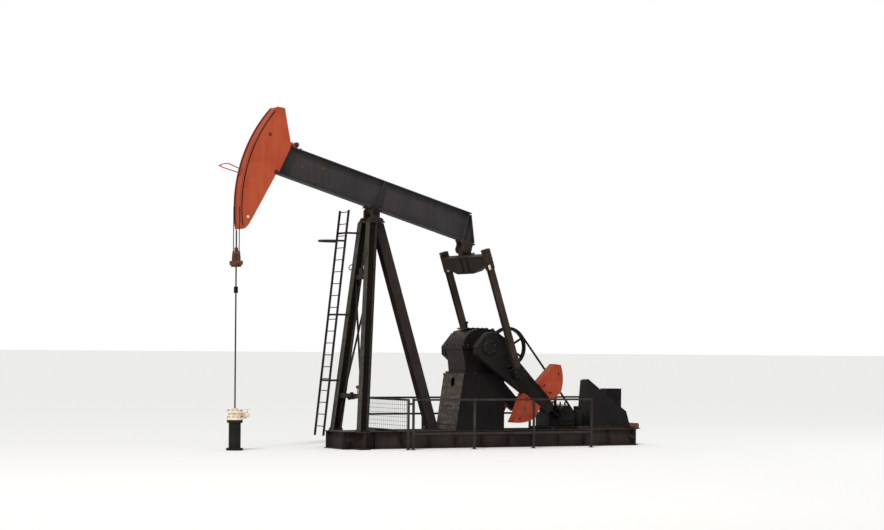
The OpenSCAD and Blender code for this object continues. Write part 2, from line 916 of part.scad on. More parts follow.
module wrist_bearings() {
    color(black) in_pitman() for (side = [-1, 1])
        translate([0, side * pitman_y, -pitman_l]) union() {
            axle(wrist_hub, -wrist_t / 2, wrist_t / 2);
            translate([0, side * (wrist_t / 2), 0]) axle(wrist_hub - 45, -22, 22);
        }
}

// cranks
module crank_shaft() {
    half = crank_in + crank_t + 12;
    color(bright) translate([crank_x, 0, crank_h]) axle(shaft_r, -half, half);
}

// the hub is squared off behind the shaft, the arm tapers to a clipped tip
crank_edge = [[-290, -230], [-290, 230], [-150, crank_hub], [100, crank_hub],
    [crank_l - 260, crank_tip + 12], [crank_l - 20, crank_tip - 40], [crank_l, 40],
    [crank_l - 8, 60 - crank_tip], [crank_l - 60, -crank_tip], [crank_l - 260, -crank_tip - 12],
    [100, -crank_hub], [-150, -crank_hub]];

module crank(side) {
    from = side > 0 ? crank_in : -crank_in - crank_t;
    recess = 25;
    outer = side > 0 ? crank_in + crank_t - recess : -crank_in - crank_t - past;
    near_end = wrist_r + 330;
    far_end = crank_l - 190;
    color(black) in_crank() difference() {
        slab(from, from + crank_t) polygon(crank_edge);
        axle(shaft_r + seat, from - past, from + crank_t + past);
        for (r = [wrist_r - 185, wrist_r + 185])
            translate([r, 0, 0]) axle(48, from - past, from + crank_t + past);
        // the long recess in the outer face
        slab(outer, outer + recess + past) polygon([[near_end, 190], [far_end, crank_tip - 55],
            [far_end, 55 - crank_tip], [near_end, -190]]);
    }
}

module crank_near() { crank(-1); }

module crank_far() { crank(1); }

// one counterweight in the crank's plane: its foot on the crank's edge, its back rounded
module weight_outline(start, lean) {
    translate([start, 232]) difference() {
        intersection() {
            polygon([[-25, -200], [0, 0], [lean, 780 - lean], [206 + lean * 0.2, 814], [900, 814],
                [900, 268], [684, 268], [580, -200]]);
            translate([-280, -93]) circle(r = weight_r, $fn = 96);
        }
        translate([170 + lean / 8, 85]) circle(r = 30);
        translate([450, 60]) circle(r = 30);
        translate([300 + lean / 4, 590]) circle(r = 30);
    }
}

module weights(side, leading) {
    from = side * weight_mid - weight_t / 2;
    color(red_orange) in_crank() difference() {
        union() {
            if (leading) slab(from, from + weight_t) weight_outline(weight_lead, 63);
            slab(from, from + weight_t) mirror([0, 1]) weight_outline(weight_trail, 200);
        }
        slab(from - past, from + weight_t + past) offset(delta = seat) polygon(crank_edge);
    }
}

// the near crank carries a weight on each edge, the far crank one on its trailing edge
module weights_near() { weights(-1, true); }

module weights_far() { weights(1, false); }

module wrist_pins() {
    face = crank_in + crank_t + seat;
    tip = pitman_y - wrist_t / 2 - 8;
    color(bright) in_crank() for (side = [-1, 1])
        translate([wrist_r, 0, 0]) axle(95, side > 0 ? face : -tip, side > 0 ? tip : -face);
}

// rod string
module carrier_bar() {
    color(rust) translate([rod_x, 0, 0]) difference() {
        union() {
            translate([-55, -carrier_l / 2 + 60, carrier_h]) cube([110, carrier_l - 120, carrier_t]);
            translate([-70, -carrier_l / 2, carrier_h + 45]) cube([140, carrier_l, carrier_t - 45]);
            for (side = [-1, 1]) translate([0, side * wire_gap / 2, carrier_h + carrier_t - past])
                cylinder(r = 40, h = 75);
        }
        translate([0, 0, carrier_h - past]) cylinder(r = rod_r + seat, h = carrier_t + 3 * past);
        for (side = [-1, 1]) translate([0, side * wire_gap / 2, carrier_h + carrier_t])
            cylinder(r = wire_r + seat, h = 200);
    }
}

module rod_clamps() {
    clamp_low = carrier_h + carrier_t + seat;
    collar_h = 3890;
    color(rust) translate([rod_x, 0, 0]) {
        difference() {
            union() {
                translate([-45, -50, clamp_low]) cube([90, 100, 110]);
                translate([-40, -42, clamp_low + 110 - past]) cube([80, 84, 100]);
            }
            translate([0, 0, clamp_low - past]) cylinder(r = rod_r + seat, h = 300);
        }
        translate([0, 0, collar_h]) difference() {
            cylinder(r = 48, h = 150);
            translate([0, 0, -past]) cylinder(r = rod_r + seat, h = 150 + 2 * past);
        }
    }
}

module polished_rod() {
    low = well_top - 440;
    color(bright) translate([rod_x, 0, low]) cylinder(r = rod_r, h = rod_top - low);
}

module hanging_wires() {
    low = carrier_h + carrier_t + 0.5;
    color(steel_black) for (side = [-1, 1]) translate([rod_x, side * wire_gap / 2, low])
        cylinder(r = wire_r, h = bearing_h - low, $fn = 24);
}

// belt drive
module spoked_wheel(r, width, hub, spokes) {
    rim = 60;
    union() {
        rotate([90, 0, 0]) translate([0, 0, -width / 2]) difference() {
            cylinder(r = r, h = width, $fn = 96);
            translate([0, 0, -past]) cylinder(r = r - rim, h = width + 2 * past, $fn = 96);
        }
        axle(hub, -width / 2, width / 2);
        for (k = [0 : spokes - 1]) rotate([0, k * 360 / spokes, 0])
            translate([-26, -width / 5, hub / 2]) cube([52, width / 2.5, r - rim / 2 - hub / 2]);
    }
}

module belt_sheave() {
    color(black) translate([crank_x + input_x, 0, input_h]) union() {
        translate([0, -belt_y, 0]) spoked_wheel(sheave_r, sheave_w, input_r + 55, 6);
        axle(input_r, -belt_y, case_y + 150);
    }
}

module brake_drum() {
    from = case_y + split_out + 15;
    color(black) translate([crank_x + input_x, 0, input_h]) difference() {
        union() {
            axle(235, from, from + 110);
            axle(90, from + 20, from + 130);
        }
        axle(205, from + 45, from + 140);
        axle(input_r + seat, from - past, from + 200);
    }
}

module driver_pulley() {
    color(black) translate([pulley_x, 0, pulley_h]) union() {
        axle(pulley_r, -belt_y - sheave_w / 2, -belt_y + sheave_w / 2);
        axle(42, -belt_y, -260);
    }
}

drive_way = [pulley_x - crank_x - input_x, pulley_h - input_h];
drive_span = norm(drive_way);
drive_angle = atan2(drive_way[1], drive_way[0]);

module belt_outline(gap) {
    hull() {
        circle(r = sheave_r + gap, $fn = 96);
        translate([drive_span, 0]) circle(r = pulley_r + gap, $fn = 64);
    }
}

module drive_belt() {
    color(black) translate([crank_x + input_x, 0, input_h])
        rotate([0, -drive_angle, 0])
            slab(-belt_y - sheave_w / 2 + 8, -belt_y + sheave_w / 2 - 8) difference() {
                belt_outline(seat + belt_t);
                belt_outline(seat);
            }
}

base_beams();
base_ties();
front_leg_near();
front_leg_far();
rear_leg();
post_braces();
post_cap();
centre_bearing();
ladder();
ladder_brackets();
ladder_hoop();
pedestal();
reducer_case();
reducer_cover();
guard_near();
guard_far();
guard_front();
engine_frame();
engine_block();
engine_hood();
air_box();
battery_box();
wellhead_casing();
stuffing_box();
drive_belt();
walking_beam();
beam_saddle();
horse_head();
head_latch();
guide_loop();
head_wires();
tail_bearing();
equalizer();
pitman_near();
pitman_far();
wrist_bearings();
crank_shaft();
crank_near();
crank_far();
weights_near();
weights_far();
wrist_pins();
carrier_bar();
rod_clamps();
polished_rod();
hanging_wires();
belt_sheave();
brake_drum();
driver_pulley();
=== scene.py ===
import math
import random
import bpy
from mathutils import Matrix, Vector


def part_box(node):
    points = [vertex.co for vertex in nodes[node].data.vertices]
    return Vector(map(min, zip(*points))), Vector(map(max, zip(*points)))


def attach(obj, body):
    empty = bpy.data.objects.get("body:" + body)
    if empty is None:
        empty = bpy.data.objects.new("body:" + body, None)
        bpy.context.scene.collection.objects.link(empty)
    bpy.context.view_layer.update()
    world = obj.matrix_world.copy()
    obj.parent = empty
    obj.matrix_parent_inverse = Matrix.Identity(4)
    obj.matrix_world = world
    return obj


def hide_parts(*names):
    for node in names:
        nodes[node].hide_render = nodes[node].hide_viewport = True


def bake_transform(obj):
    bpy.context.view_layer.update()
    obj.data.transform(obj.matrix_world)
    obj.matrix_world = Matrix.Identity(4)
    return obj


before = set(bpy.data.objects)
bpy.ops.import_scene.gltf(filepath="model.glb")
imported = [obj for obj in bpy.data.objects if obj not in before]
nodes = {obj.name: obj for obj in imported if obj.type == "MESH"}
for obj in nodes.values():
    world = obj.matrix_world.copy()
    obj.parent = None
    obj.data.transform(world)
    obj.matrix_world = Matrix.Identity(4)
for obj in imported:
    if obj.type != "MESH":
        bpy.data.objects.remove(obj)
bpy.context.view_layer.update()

# Beam pumping unit. Metres, ground at z 0, X from the well to the engine, Y across.
random.seed(11)
print("frame loaded:", len(nodes), "nodes")

# places that several pieces share
beamPivot = Vector((0.0, 0.0, 6.02))
beamTilt = math.radians(16.0)
crankCentre = Vector((2.95, 0.0, 2.6))
crankDrop = math.radians(40.3)
inputShaft = Vector((3.69, 0.0, 2.6))
tailPin = Vector((2.6942, 0.0, 5.1487))
pitmanLean = math.radians(17.9)
beamPlace = Matrix.Translation(beamPivot) @ Matrix.Rotation(beamTilt, 4, "Y")
crankPlace = Matrix.Translation(crankCentre) @ Matrix.Rotation(crankDrop, 4, "Y")
pitmanPlace = Matrix.Translation(tailPin) @ Matrix.Rotation(-pitmanLean, 4, "Y")
groundPlace = Matrix.Identity(4)
wellX = -3.7426
bothSides = (-1, 1)  # the near side first
up, down = (0, 0, 1), (0, 0, -1)


def buildCamera():
    shot = {"place": (-26.848, -52.566, 2.604), "heading": 28.825, "roll": 0.5, "focal": 94.31,
            "sensor": 36.0, "rise": 0.0924, "nearest": 1.0, "farthest": 3000.0}
    data = bpy.data.cameras.new("photoCamera")
    data.lens, data.sensor_width, data.shift_y = shot["focal"], shot["sensor"], shot["rise"]
    data.clip_start, data.clip_end = shot["nearest"], shot["farthest"]
    camera = bpy.data.objects.new("photoCamera", data)
    bpy.context.scene.collection.objects.link(camera)
    turn = Matrix.Rotation(math.radians(-shot["heading"]), 4, "Z") @ Matrix.Rotation(math.pi / 2, 4, "X")
    turn = turn @ Matrix.Rotation(math.radians(shot["roll"]), 4, "Z")
    camera.matrix_world = Matrix.Translation(shot["place"]) @ turn
    bpy.context.scene.camera = camera


def areaLight(name, lamp):
    data = bpy.data.lights.new(name, "AREA")
    data.shape, data.size, data.energy, data.color = "DISK", lamp["size"], lamp["power"], lamp["tint"]
    made = bpy.data.objects.new(name, data)
    bpy.context.scene.collection.objects.link(made)
    made.location = lamp["place"]
    made.rotation_euler = (Vector(lamp["aim"]) - Vector(lamp["place"])).to_track_quat("-Z", "Y").to_euler()


def buildSky(strength, tint):
    # lights the object dimly, and is plain white where the camera or a reflection sees it
    world = bpy.data.worlds.new("studioSky")
    bpy.context.scene.world = world
    world.use_nodes = True
    world.node_tree.nodes.clear()
    add, link = world.node_tree.nodes.new, world.node_tree.links.new
    light, seen = add("ShaderNodeBackground"), add("ShaderNodeBackground")
    light.inputs["Color"].default_value, light.inputs["Strength"].default_value = tint, strength
    seen.inputs["Color"].default_value, seen.inputs["Strength"].default_value = (1, 1, 1, 1), 1.0
    path = add("ShaderNodeLightPath")
    rays = path.outputs["Is Camera Ray"]
    for kind in ("Is Glossy Ray", "Is Transmission Ray"):
        either = add("ShaderNodeMath")
        either.operation = "MAXIMUM"
        link(rays, either.inputs[0])
        link(path.outputs[kind], either.inputs[1])
        rays = either.outputs[0]
    mix, out = add("ShaderNodeMixShader"), add("ShaderNodeOutputWorld")
    for socket, plug in zip((rays, light.outputs[0], seen.outputs[0]), mix.inputs):
        link(socket, plug)
    link(mix.outputs[0], out.inputs["Surface"])


def buildStudio():
    studio = {
        "sky": 0.5, "skyTint": (0.93, 0.96, 1.0, 1),
        "key": {"place": (-16, -22, 20), "aim": (2, 0, 3), "size": 12, "power": 1300.0, "tint": (1.0, 0.97, 0.92)},
        "fill": {"place": (20, -14, 12), "aim": (3, 0, 3), "size": 14, "power": 500.0, "tint": (0.93, 0.96, 1.0)},
        "sunPower": 1.9, "sunSpread": 8, "sunTurn": (38, -24, -20), "sunTint": (1.0, 0.96, 0.9)}
    buildSky(studio["sky"], studio["skyTint"])
    areaLight("keyLight", studio["key"])
    areaLight("fillLight", studio["fill"])
    sun = bpy.data.lights.new("softSun", "SUN")
    sun.energy, sun.angle, sun.color = studio["sunPower"], math.radians(studio["sunSpread"]), studio["sunTint"]
    lamp = bpy.data.objects.new("softSun", sun)
    bpy.context.scene.collection.objects.link(lamp)
    lamp.rotation_euler = [math.radians(angle) for angle in studio["sunTurn"]]
    bpy.context.scene.view_settings.view_transform = "Standard"


buildCamera()
buildStudio()
print("camera and light set")


class Signal:
    # a socket's value, with Python's own operators adding the Math nodes
    def __init__(self, finish, socket):
        self.finish, self.socket = finish, socket

    def math(self, operation, first, second, clamp=False):
        settings = {"operation": operation, "use_clamp": clamp}
        return self.finish.add("ShaderNodeMath", settings, {0: first, 1: second})

    def __add__(self, other): return self.math("ADD", self, other)
    def __radd__(self, other): return self.math("ADD", other, self)
    def __sub__(self, other): return self.math("SUBTRACT", self, other)
    def __rsub__(self, other): return self.math("SUBTRACT", other, self)
    def __mul__(self, other): return self.math("MULTIPLY", self, other)
    def __rmul__(self, other): return self.math("MULTIPLY", other, self)
    def clip(self): return self.math("MULTIPLY", self, 1.0, clamp=True)

    def step(self, low, high):
        # 0 below low, 1 above high
        return self.finish.add("ShaderNodeMapRange", {"interpolation_type": "SMOOTHSTEP"},
                               {"Value": self, "From Min": low, "From Max": high})


class Finish:
    # one material; patterns follow the object's own coordinates
    def __init__(self, name):
        self.material = bpy.data.materials.new(name)
        self.material.use_nodes = True
        self.tree = self.material.node_tree
        self.tree.nodes.clear()
        out = self.tree.nodes.new("ShaderNodeOutputMaterial")
        self.shader = self.tree.nodes.new("ShaderNodeBsdfPrincipled")
        self.tree.links.new(self.shader.outputs[0], out.inputs["Surface"])
        self.place = self.add("ShaderNodeTexCoord", out="Object")

    def add(self, kind, settings=None, sockets=None, out=0):
        node = self.tree.nodes.new(kind)
        for key, value in (settings or {}).items():
            setattr(node, key, value)
        for key, value in (sockets or {}).items():
            self.feed(node.inputs[key], value)
        return Signal(self, node.outputs[out])

    def feed(self, socket, value):
        if isinstance(value, Signal):
            self.tree.links.new(value.socket, socket)
        else:
            socket.default_value = value

    def stretch(self, scale, turn=(0, 0, 0)):
        return self.add("ShaderNodeMapping", {}, {"Vector": self.place, "Scale": scale, "Rotation": turn})

    def noise(self, scale, detail, rough, where=None, warp=0.0):
        return self.add("ShaderNodeTexNoise", {}, {"Vector": where or self.place, "Scale": scale, "Detail": detail,
                                                   "Roughness": rough, "Distortion": warp})

    def waves(self, where, warp, direction):
        return self.add("ShaderNodeTexWave", {"wave_type": "BANDS", "bands_direction": direction},
                        {"Vector": where, "Scale": 1.0, "Distortion": warp})

    def mix(self, amount, first, second):
        return self.add("ShaderNodeMix", {"data_type": "RGBA"}, {0: amount, 6: first, 7: second}, 2)

    def side(self, axis):
        # how much the surface faces along X, Y or Z, from the geometry's own normal
        normal = self.add("ShaderNodeNewGeometry", out="Normal")
        return self.add("ShaderNodeSeparateXYZ", {}, {0: normal}, axis)

    def set(self, **values):
        for name, value in values.items():
            self.feed(self.shader.inputs[name.replace("_", " ")], value)

    def bump(self, height, distance, strength):
        sockets = {"Height": height, "Distance": distance, "Strength": strength}
        self.set(Normal=self.add("ShaderNodeBump", {}, sockets))


def tone(red, green, blue):
    # screen colour, 0 to 255, as Blender's linear values
    def linear(c):
        c = c / 255
        return c / 12.92 if c <= 0.04045 else ((c + 0.055) / 1.055) ** 2.4
    return (linear(red), linear(green), linear(blue), 1.0)


rustDark, rustLight, dust = tone(78, 46, 34), tone(134, 84, 58), tone(150, 138, 122)
usualPaint = {"rough": 0.5, "streak": 0.35, "stain": 0.5, "dusty": 0.25, "sheen": 0.07}


def weatheredPaint(name, paint):
    # paint with rain streaks, rust where it has chipped, and dust on top; paints with a litFace colour also get
    # painted light on their faces turned towards -X
    paint = {**usualPaint, **paint}
    colour, faded, dirty = (tone(*paint[key]) for key in ("colour", "faded", "dirty"))
    finish = Finish(name)
    grain = finish.noise(60.0, 6.0, 0.6)
    cloud = finish.noise(1.3, 5.0, 0.6, warp=0.4)
    fine = finish.noise(9.0, 8.0, 0.7)
    streaks = finish.noise(1.0, 6.0, 0.65, finish.stretch((9.0, 9.0, 0.7)))
    chips = finish.noise(5.5, 9.0, 0.72, warp=0.6) * 0.75 + finish.noise(28.0, 6.0, 0.7) * 0.25
    rustMask = chips.step(paint["rustFrom"], paint["rustFrom"] + 0.045)
    stainMask = (streaks * 0.7 + chips * 0.3).step(paint["stainFrom"], paint["stainFrom"] + 0.16)
    base = finish.mix(cloud.step(0.32, 0.7), colour, faded)
    if "litFace" in paint:
        # painted light: faces turned towards -X get the lighter litFace colour, which stands for the light falling
        # on them, with darker litFaceStreak streaks run through it
        litSide = (finish.side(0) * -1.0).step(0.6, 0.9)
        litTone = finish.mix(fine.step(0.3, 0.7), tone(*paint["litFace"]), faded)
        litStreaks = finish.noise(1.0, 5.0, 0.7, finish.stretch((1.0, 1.4, 12.0))).step(0.42, 0.6)
        base = finish.mix(litSide, base, finish.mix(litStreaks, litTone, tone(*paint["litFaceStreak"])))
    base = finish.mix(streaks.step(0.35, 0.72) * paint["streak"], base, dirty)
    base = finish.mix(stainMask * paint["stain"], base, rustLight)
    base = finish.mix(rustMask, base, finish.mix(fine.step(0.35, 0.65), rustDark, rustLight))
    top = finish.side(2).step(0.45, 0.95) * fine.step(0.25, 0.7) * paint["dusty"]
    base = finish.mix(top, base, dust)
    rough = (paint["rough"] + grain * 0.14 + rustMask * 0.3 + top * 0.3).clip()
    finish.set(Base_Color=base, Roughness=rough, Specular_IOR_Level=paint["sheen"])
    finish.bump(cloud * 0.2 + grain * 0.1 + fine * 0.25 - rustMask * 0.35, 0.004, 0.55)
    return finish.material


def castIron(name, metal):
    # rough foundry skin with rusty patches
    finish = Finish(name)
    skin = finish.noise(90.0, 5.0, 0.65)
    patch = finish.noise(4.0, 7.0, 0.65, warp=0.5)
    base = finish.mix(patch.step(0.3, 0.7), tone(*metal["dark"]), tone(*metal["light"]))
    base = finish.mix(finish.noise(16.0, 8.0, 0.7).step(0.55, 0.62) * metal["rust"], base, rustLight)
    rough = (metal["rough"] + skin * 0.2).clip()
    finish.set(Base_Color=base, Roughness=rough, Metallic=metal["metallic"], Specular_IOR_Level=0.12)
    finish.bump(skin * 0.6 + patch * 0.4, 0.003, 0.6)
    return finish.material


def turnedSteel(name, steel):
    # bright steel with fine rings along its length and a film of grease
    finish = Finish(name)
    rings = finish.noise(1.0, 3.0, 0.6, finish.stretch(steel["rings"]))
    film = finish.noise(6.0, 6.0, 0.6)
    base = finish.mix(film.step(0.42, 0.66), tone(*steel["colour"]), tone(*steel["film"]))
    rough = (steel["rough"] + rings * 0.16 + film * 0.12).clip()
    finish.set(Base_Color=base, Metallic=1.0 - film.step(0.55, 0.7) * 0.5, Roughness=rough)
    finish.bump(rings, 0.0006, 0.5)
    return finish.material


def wireRope(name, rope):
    # strands laid round the rope show as slanting bands
    finish = Finish(name)
    lay = finish.waves(finish.stretch((60.0, 60.0, 60.0), (0.0, 0.6, 0.0)), 0.6, "Z")
    wires = finish.waves(finish.stretch((260.0, 260.0, 260.0), (0.3, 0.7, 0.0)), 0.3, "Z")
    base = finish.mix(lay, tone(*rope["groove"]), tone(*rope["strand"]))
    base = finish.mix(finish.noise(12.0, 6.0, 0.7).step(0.52, 0.64) * 0.6, base, rustDark)
    finish.set(Base_Color=base, Roughness=0.5 + wires * 0.2, Specular_IOR_Level=0.15)
    finish.bump(lay * 0.8 + wires * 0.2, 0.003, 0.8)
    return finish.material


def beltRubber(name, belt):
    # cords under the rubber show as fine ribs along the belt
    finish = Finish(name)
    speck = finish.noise(120.0, 4.0, 0.6)
    cords = finish.waves(finish.stretch((0.0, 210.0, 0.0)), 0.0, "Y")
    base = finish.mix(finish.noise(5.0, 6.0, 0.6).step(0.4, 0.7), tone(*belt["rubber"]), tone(*belt["litSide"]))
    finish.set(Base_Color=base, Roughness=0.62 + speck * 0.2, Specular_IOR_Level=0.15)
    finish.bump(cords * 0.7 + speck * 0.3, 0.002, 0.6)
    return finish.material


# colours as seen on screen; rust and stain spread further as their "From" falls
paints = {
    "headOrange": {"colour": (162, 66, 41), "faded": (176, 80, 51), "dirty": (136, 54, 36), "rustFrom": 0.66,
                   "stainFrom": 0.6, "streak": 0.4, "stain": 0.3, "dusty": 0.2, "sheen": 0.1},
    "weightOrange": {"colour": (150, 57, 36), "faded": (164, 72, 49), "dirty": (112, 46, 33), "rustFrom": 0.62,
                     "stainFrom": 0.57, "streak": 0.4, "stain": 0.4, "dusty": 0.3, "sheen": 0.1},
    "latchRed": {"colour": (154, 54, 38), "faded": (170, 78, 54), "dirty": (108, 42, 32), "rustFrom": 0.58,
                 "stainFrom": 0.55, "dusty": 0.2, "sheen": 0.1},
    "beamBlack": {"colour": (52, 49, 50), "faded": (61, 57, 58), "dirty": (41, 38, 38), "rustFrom": 0.68,
                  "stainFrom": 0.66, "streak": 0.4, "stain": 0.25, "dusty": 0.2},
    "postBlack": {"colour": (40, 33, 32), "faded": (54, 46, 43), "dirty": (30, 25, 24), "rustFrom": 0.62,
                  "stainFrom": 0.57, "rough": 0.52, "streak": 0.5, "stain": 0.4, "dusty": 0.35},
    # painted light and shade on the front legs: the dark colour is black paint darkened further as shade on their
    # -Y faces, and litFace is painted light on their -X faces
    "legBlack": {"colour": (20, 16, 13), "faded": (29, 24, 21), "dirty": (15, 12, 10), "litFace": (90, 86, 78),
                 "litFaceStreak": (70, 65, 58), "rustFrom": 0.64, "stainFrom": 0.6, "rough": 0.52, "streak": 0.4,
                 "stain": 0.3, "dusty": 0.35},
    "pitmanBlack": {"colour": (46, 37, 33), "faded": (62, 50, 44), "dirty": (33, 27, 25), "rustFrom": 0.61,
                    "stainFrom": 0.56, "stain": 0.4, "dusty": 0.35},
    "equalizerBrown": {"colour": (37, 28, 22), "faded": (48, 37, 28), "dirty": (22, 17, 14), "rustFrom": 0.66,
                       "stainFrom": 0.62, "rough": 0.55, "streak": 0.5, "stain": 0.2},
    "crankBlack": {"colour": (20, 19, 18), "faded": (31, 28, 26), "dirty": (15, 14, 13), "rustFrom": 0.63,
                   "stainFrom": 0.58, "rough": 0.46, "stain": 0.3, "dusty": 0.2},
    "gearBlack": {"colour": (17, 15, 15), "faded": (26, 23, 22), "dirty": (13, 11, 11), "rustFrom": 0.68,
                  "stainFrom": 0.64, "rough": 0.3, "streak": 0.45, "stain": 0.25, "dusty": 0.2},
    # painted light and shade on the reducer case: the dark colour is black paint darkened further as shade on its
    # sides, and litFace is painted light on its -X front
    "caseBlack": {"colour": (19, 16, 16), "faded": (28, 24, 23), "dirty": (14, 12, 12), "litFace": (54, 45, 43),
                  "litFaceStreak": (38, 31, 30), "rustFrom": 0.66, "stainFrom": 0.62, "rough": 0.4, "streak": 0.4,
                  "stain": 0.25},
    "ladderBlack": {"colour": (38, 35, 35), "faded": (52, 47, 45), "dirty": (30, 27, 26), "rustFrom": 0.62,
                    "stainFrom": 0.56},
    # painted light and shade on the pedestal: the dark colour is black paint darkened further as shade on its
    # sides, and litFace is painted light on its -X front
    "pedestalGrey": {"colour": (18, 17, 17), "faded": (28, 26, 25), "dirty": (15, 13, 13),
                     "litFace": (116, 105, 97), "litFaceStreak": (72, 63, 58), "rustFrom": 0.64, "stainFrom": 0.6,
                     "rough": 0.55, "streak": 0.4, "stain": 0.25},
    "guardRust": {"colour": (44, 41, 40), "faded": (66, 61, 58), "dirty": (33, 29, 27), "rustFrom": 0.6,
                  "stainFrom": 0.56, "rough": 0.6, "streak": 0.5, "stain": 0.35},
    "boxRust": {"colour": (104, 62, 42), "faded": (134, 88, 62), "dirty": (68, 42, 32), "rustFrom": 0.5,
                "stainFrom": 0.46, "rough": 0.65, "dusty": 0.4},
    "casingBlack": {"colour": (26, 22, 20), "faded": (44, 40, 37), "dirty": (20, 17, 16), "rustFrom": 0.63,
                    "stainFrom": 0.58, "rough": 0.4},
    "wellCream": {"colour": (230, 214, 188), "faded": (238, 226, 204), "dirty": (150, 128, 98), "rustFrom": 0.62,
                  "stainFrom": 0.55, "rough": 0.45, "streak": 0.5, "dusty": 0.15, "sheen": 0.3},
}
otherLooks = {
    "rustyCast": (castIron, {"dark": (58, 38, 30), "light": (108, 70, 50), "rough": 0.65, "metallic": 0.0,
                             "rust": 0.7}),
    "boltSteel": (castIron, {"dark": (40, 36, 33), "light": (74, 66, 60), "rough": 0.5, "metallic": 0.2,
                             "rust": 0.5}),
    "shaftSteel": (turnedSteel, {"colour": (150, 148, 145), "film": (70, 62, 54), "rough": 0.28,
                                 "rings": (40.0, 400.0, 40.0)}),
    "rodSteel": (turnedSteel, {"colour": (62, 52, 46), "film": (36, 29, 25), "rough": 0.25,
                               "rings": (30.0, 30.0, 260.0)}),
    "wireRope": (wireRope, {"groove": (28, 24, 22), "strand": (74, 64, 56)}),
    "beltRubber": (beltRubber, {"rubber": (20, 19, 19), "litSide": (44, 41, 38)}),
}
looks = {name: weatheredPaint(name, paint) for name, paint in paints.items()}
looks.update({name: make(name, settings) for name, (make, settings) in otherLooks.items()})
nodeLooks = {
    "postBlack": ("base_beams", "base_ties", "rear_leg", "post_braces", "post_cap", "centre_bearing",
                  "engine_frame", "beam_saddle"),
    "legBlack": ("front_leg_near", "front_leg_far"),
    "ladderBlack": ("ladder", "ladder_brackets", "ladder_hoop"),
    "pedestalGrey": ("pedestal",),
    "caseBlack": ("reducer_case", "reducer_cover"),
    "guardRust": ("guard_near", "guard_far", "guard_front"),
    "gearBlack": ("engine_block", "engine_hood", "air_box", "wrist_bearings", "belt_sheave", "brake_drum",
                  "driver_pulley"),
    "boxRust": ("battery_box",),
    "casingBlack": ("wellhead_casing",),
    "wellCream": ("stuffing_box",),
    "beamBlack": ("walking_beam", "tail_bearing"),
    "headOrange": ("horse_head",),
    "latchRed": ("head_latch", "guide_loop"),
    "equalizerBrown": ("equalizer",),
    "pitmanBlack": ("pitman_near", "pitman_far"),
    "crankBlack": ("crank_near", "crank_far"),
    "weightOrange": ("weights_near", "weights_far"),
    "shaftSteel": ("crank_shaft", "wrist_pins"),
    "rustyCast": ("carrier_bar", "rod_clamps"),
    "rodSteel": ("polished_rod",),
    "wireRope": ("head_wires", "hanging_wires"),
    "beltRubber": ("drive_belt",)}
for look, names in nodeLooks.items():
    for name in names:
        mesh = nodes[name].data
        mesh.materials.clear()
        mesh.materials.append(looks[look])
print("finishes made:", len(looks))


axisTurns = {"X": (0, math.pi / 2, 0), "Y": (math.pi / 2, 0, 0), "Z": (0, 0, 0)}
smoothBelow = math.radians(35)  # edges flatter than this are shaded smooth


def clearSelection():
    if bpy.context.object and bpy.context.object.mode != "OBJECT":
        bpy.ops.object.mode_set(mode="OBJECT")
    bpy.ops.object.select_all(action="DESELECT")


def applyPlace():
    bpy.ops.object.transform_apply(location=True, rotation=True, scale=True)


def startEdit():
    bpy.ops.object.mode_set(mode="EDIT")
    bpy.ops.mesh.select_mode(type="FACE")
    bpy.ops.mesh.select_all(action="SELECT")


def endEdit():
    bpy.ops.object.mode_set(mode="OBJECT")


def pickFaces(test):
    # in edit mode, selects the faces that pass a test on their normal
    bpy.ops.object.mode_set(mode="OBJECT")
    mesh = bpy.context.object.data
    for vertex in mesh.vertices:
        vertex.select = False
    for edge in mesh.edges:
        edge.select = False
    for face in mesh.polygons:
        face.select = test(face.normal)
    bpy.ops.object.mode_set(mode="EDIT")
    bpy.ops.mesh.select_mode(type="FACE")


def block(size, centre=(0, 0, 0), soft=0.004):
    # a box with all its edges broken
    clearSelection()
    bpy.ops.mesh.primitive_cube_add(size=1, location=centre)
    made = bpy.context.object
    made.scale = size
    applyPlace()
    if soft:
        startEdit()
        bpy.ops.mesh.select_mode(type="EDGE")
        bpy.ops.mesh.select_all(action="SELECT")
        bpy.ops.mesh.bevel(offset=soft, segments=2, affect="EDGES", clamp_overlap=True)
        endEdit()
    return made


def drum(radius, length, centre, axis="Z", around=32, soft=0.004):
    # a round bar or disc with its two end edges broken
    clearSelection()
    bpy.ops.mesh.primitive_cylinder_add(vertices=around, radius=radius, depth=length, location=centre)
    made = bpy.context.object
    made.rotation_euler = axisTurns[axis]
    applyPlace()
    startEdit()
    pickFaces(lambda normal: abs(normal["XYZ".index(axis)]) > 0.9)
    bpy.ops.mesh.bevel(offset=soft, segments=2, affect="EDGES")
    endEdit()
    return made


def ball(radius, centre, around, rings):
    clearSelection()
    bpy.ops.mesh.primitive_uv_sphere_add(segments=around, ring_count=rings, radius=radius, location=centre)
    return bpy.context.object


def ring(outer, tube, centre, axis="Y", around=24, across=8):
    clearSelection()
    bpy.ops.mesh.primitive_torus_add(major_radius=outer, minor_radius=tube, major_segments=around,
                                     minor_segments=across, location=centre)
    made = bpy.context.object
    made.rotation_euler = axisTurns[axis]
    applyPlace()
    return made


def rodBetween(start, end, radius, around=12):
    start, end = Vector(start), Vector(end)
    along = end - start
    clearSelection()
    bpy.ops.mesh.primitive_cylinder_add(vertices=around, radius=radius, depth=along.length)
    made = bpy.context.object
    made.matrix_world = Matrix.Translation((start + end) / 2) @ along.to_track_quat("Z", "Y").to_matrix().to_4x4()
    applyPlace()
    return made


def bentTube(points, radius, around=10):
    # a tube through points, its corners rounded by balls
    made = [rodBetween(a, b, radius, around) for a, b in zip(points, points[1:])]
    made += [ball(radius, point, around, 6) for point in points]
    return gather(made)


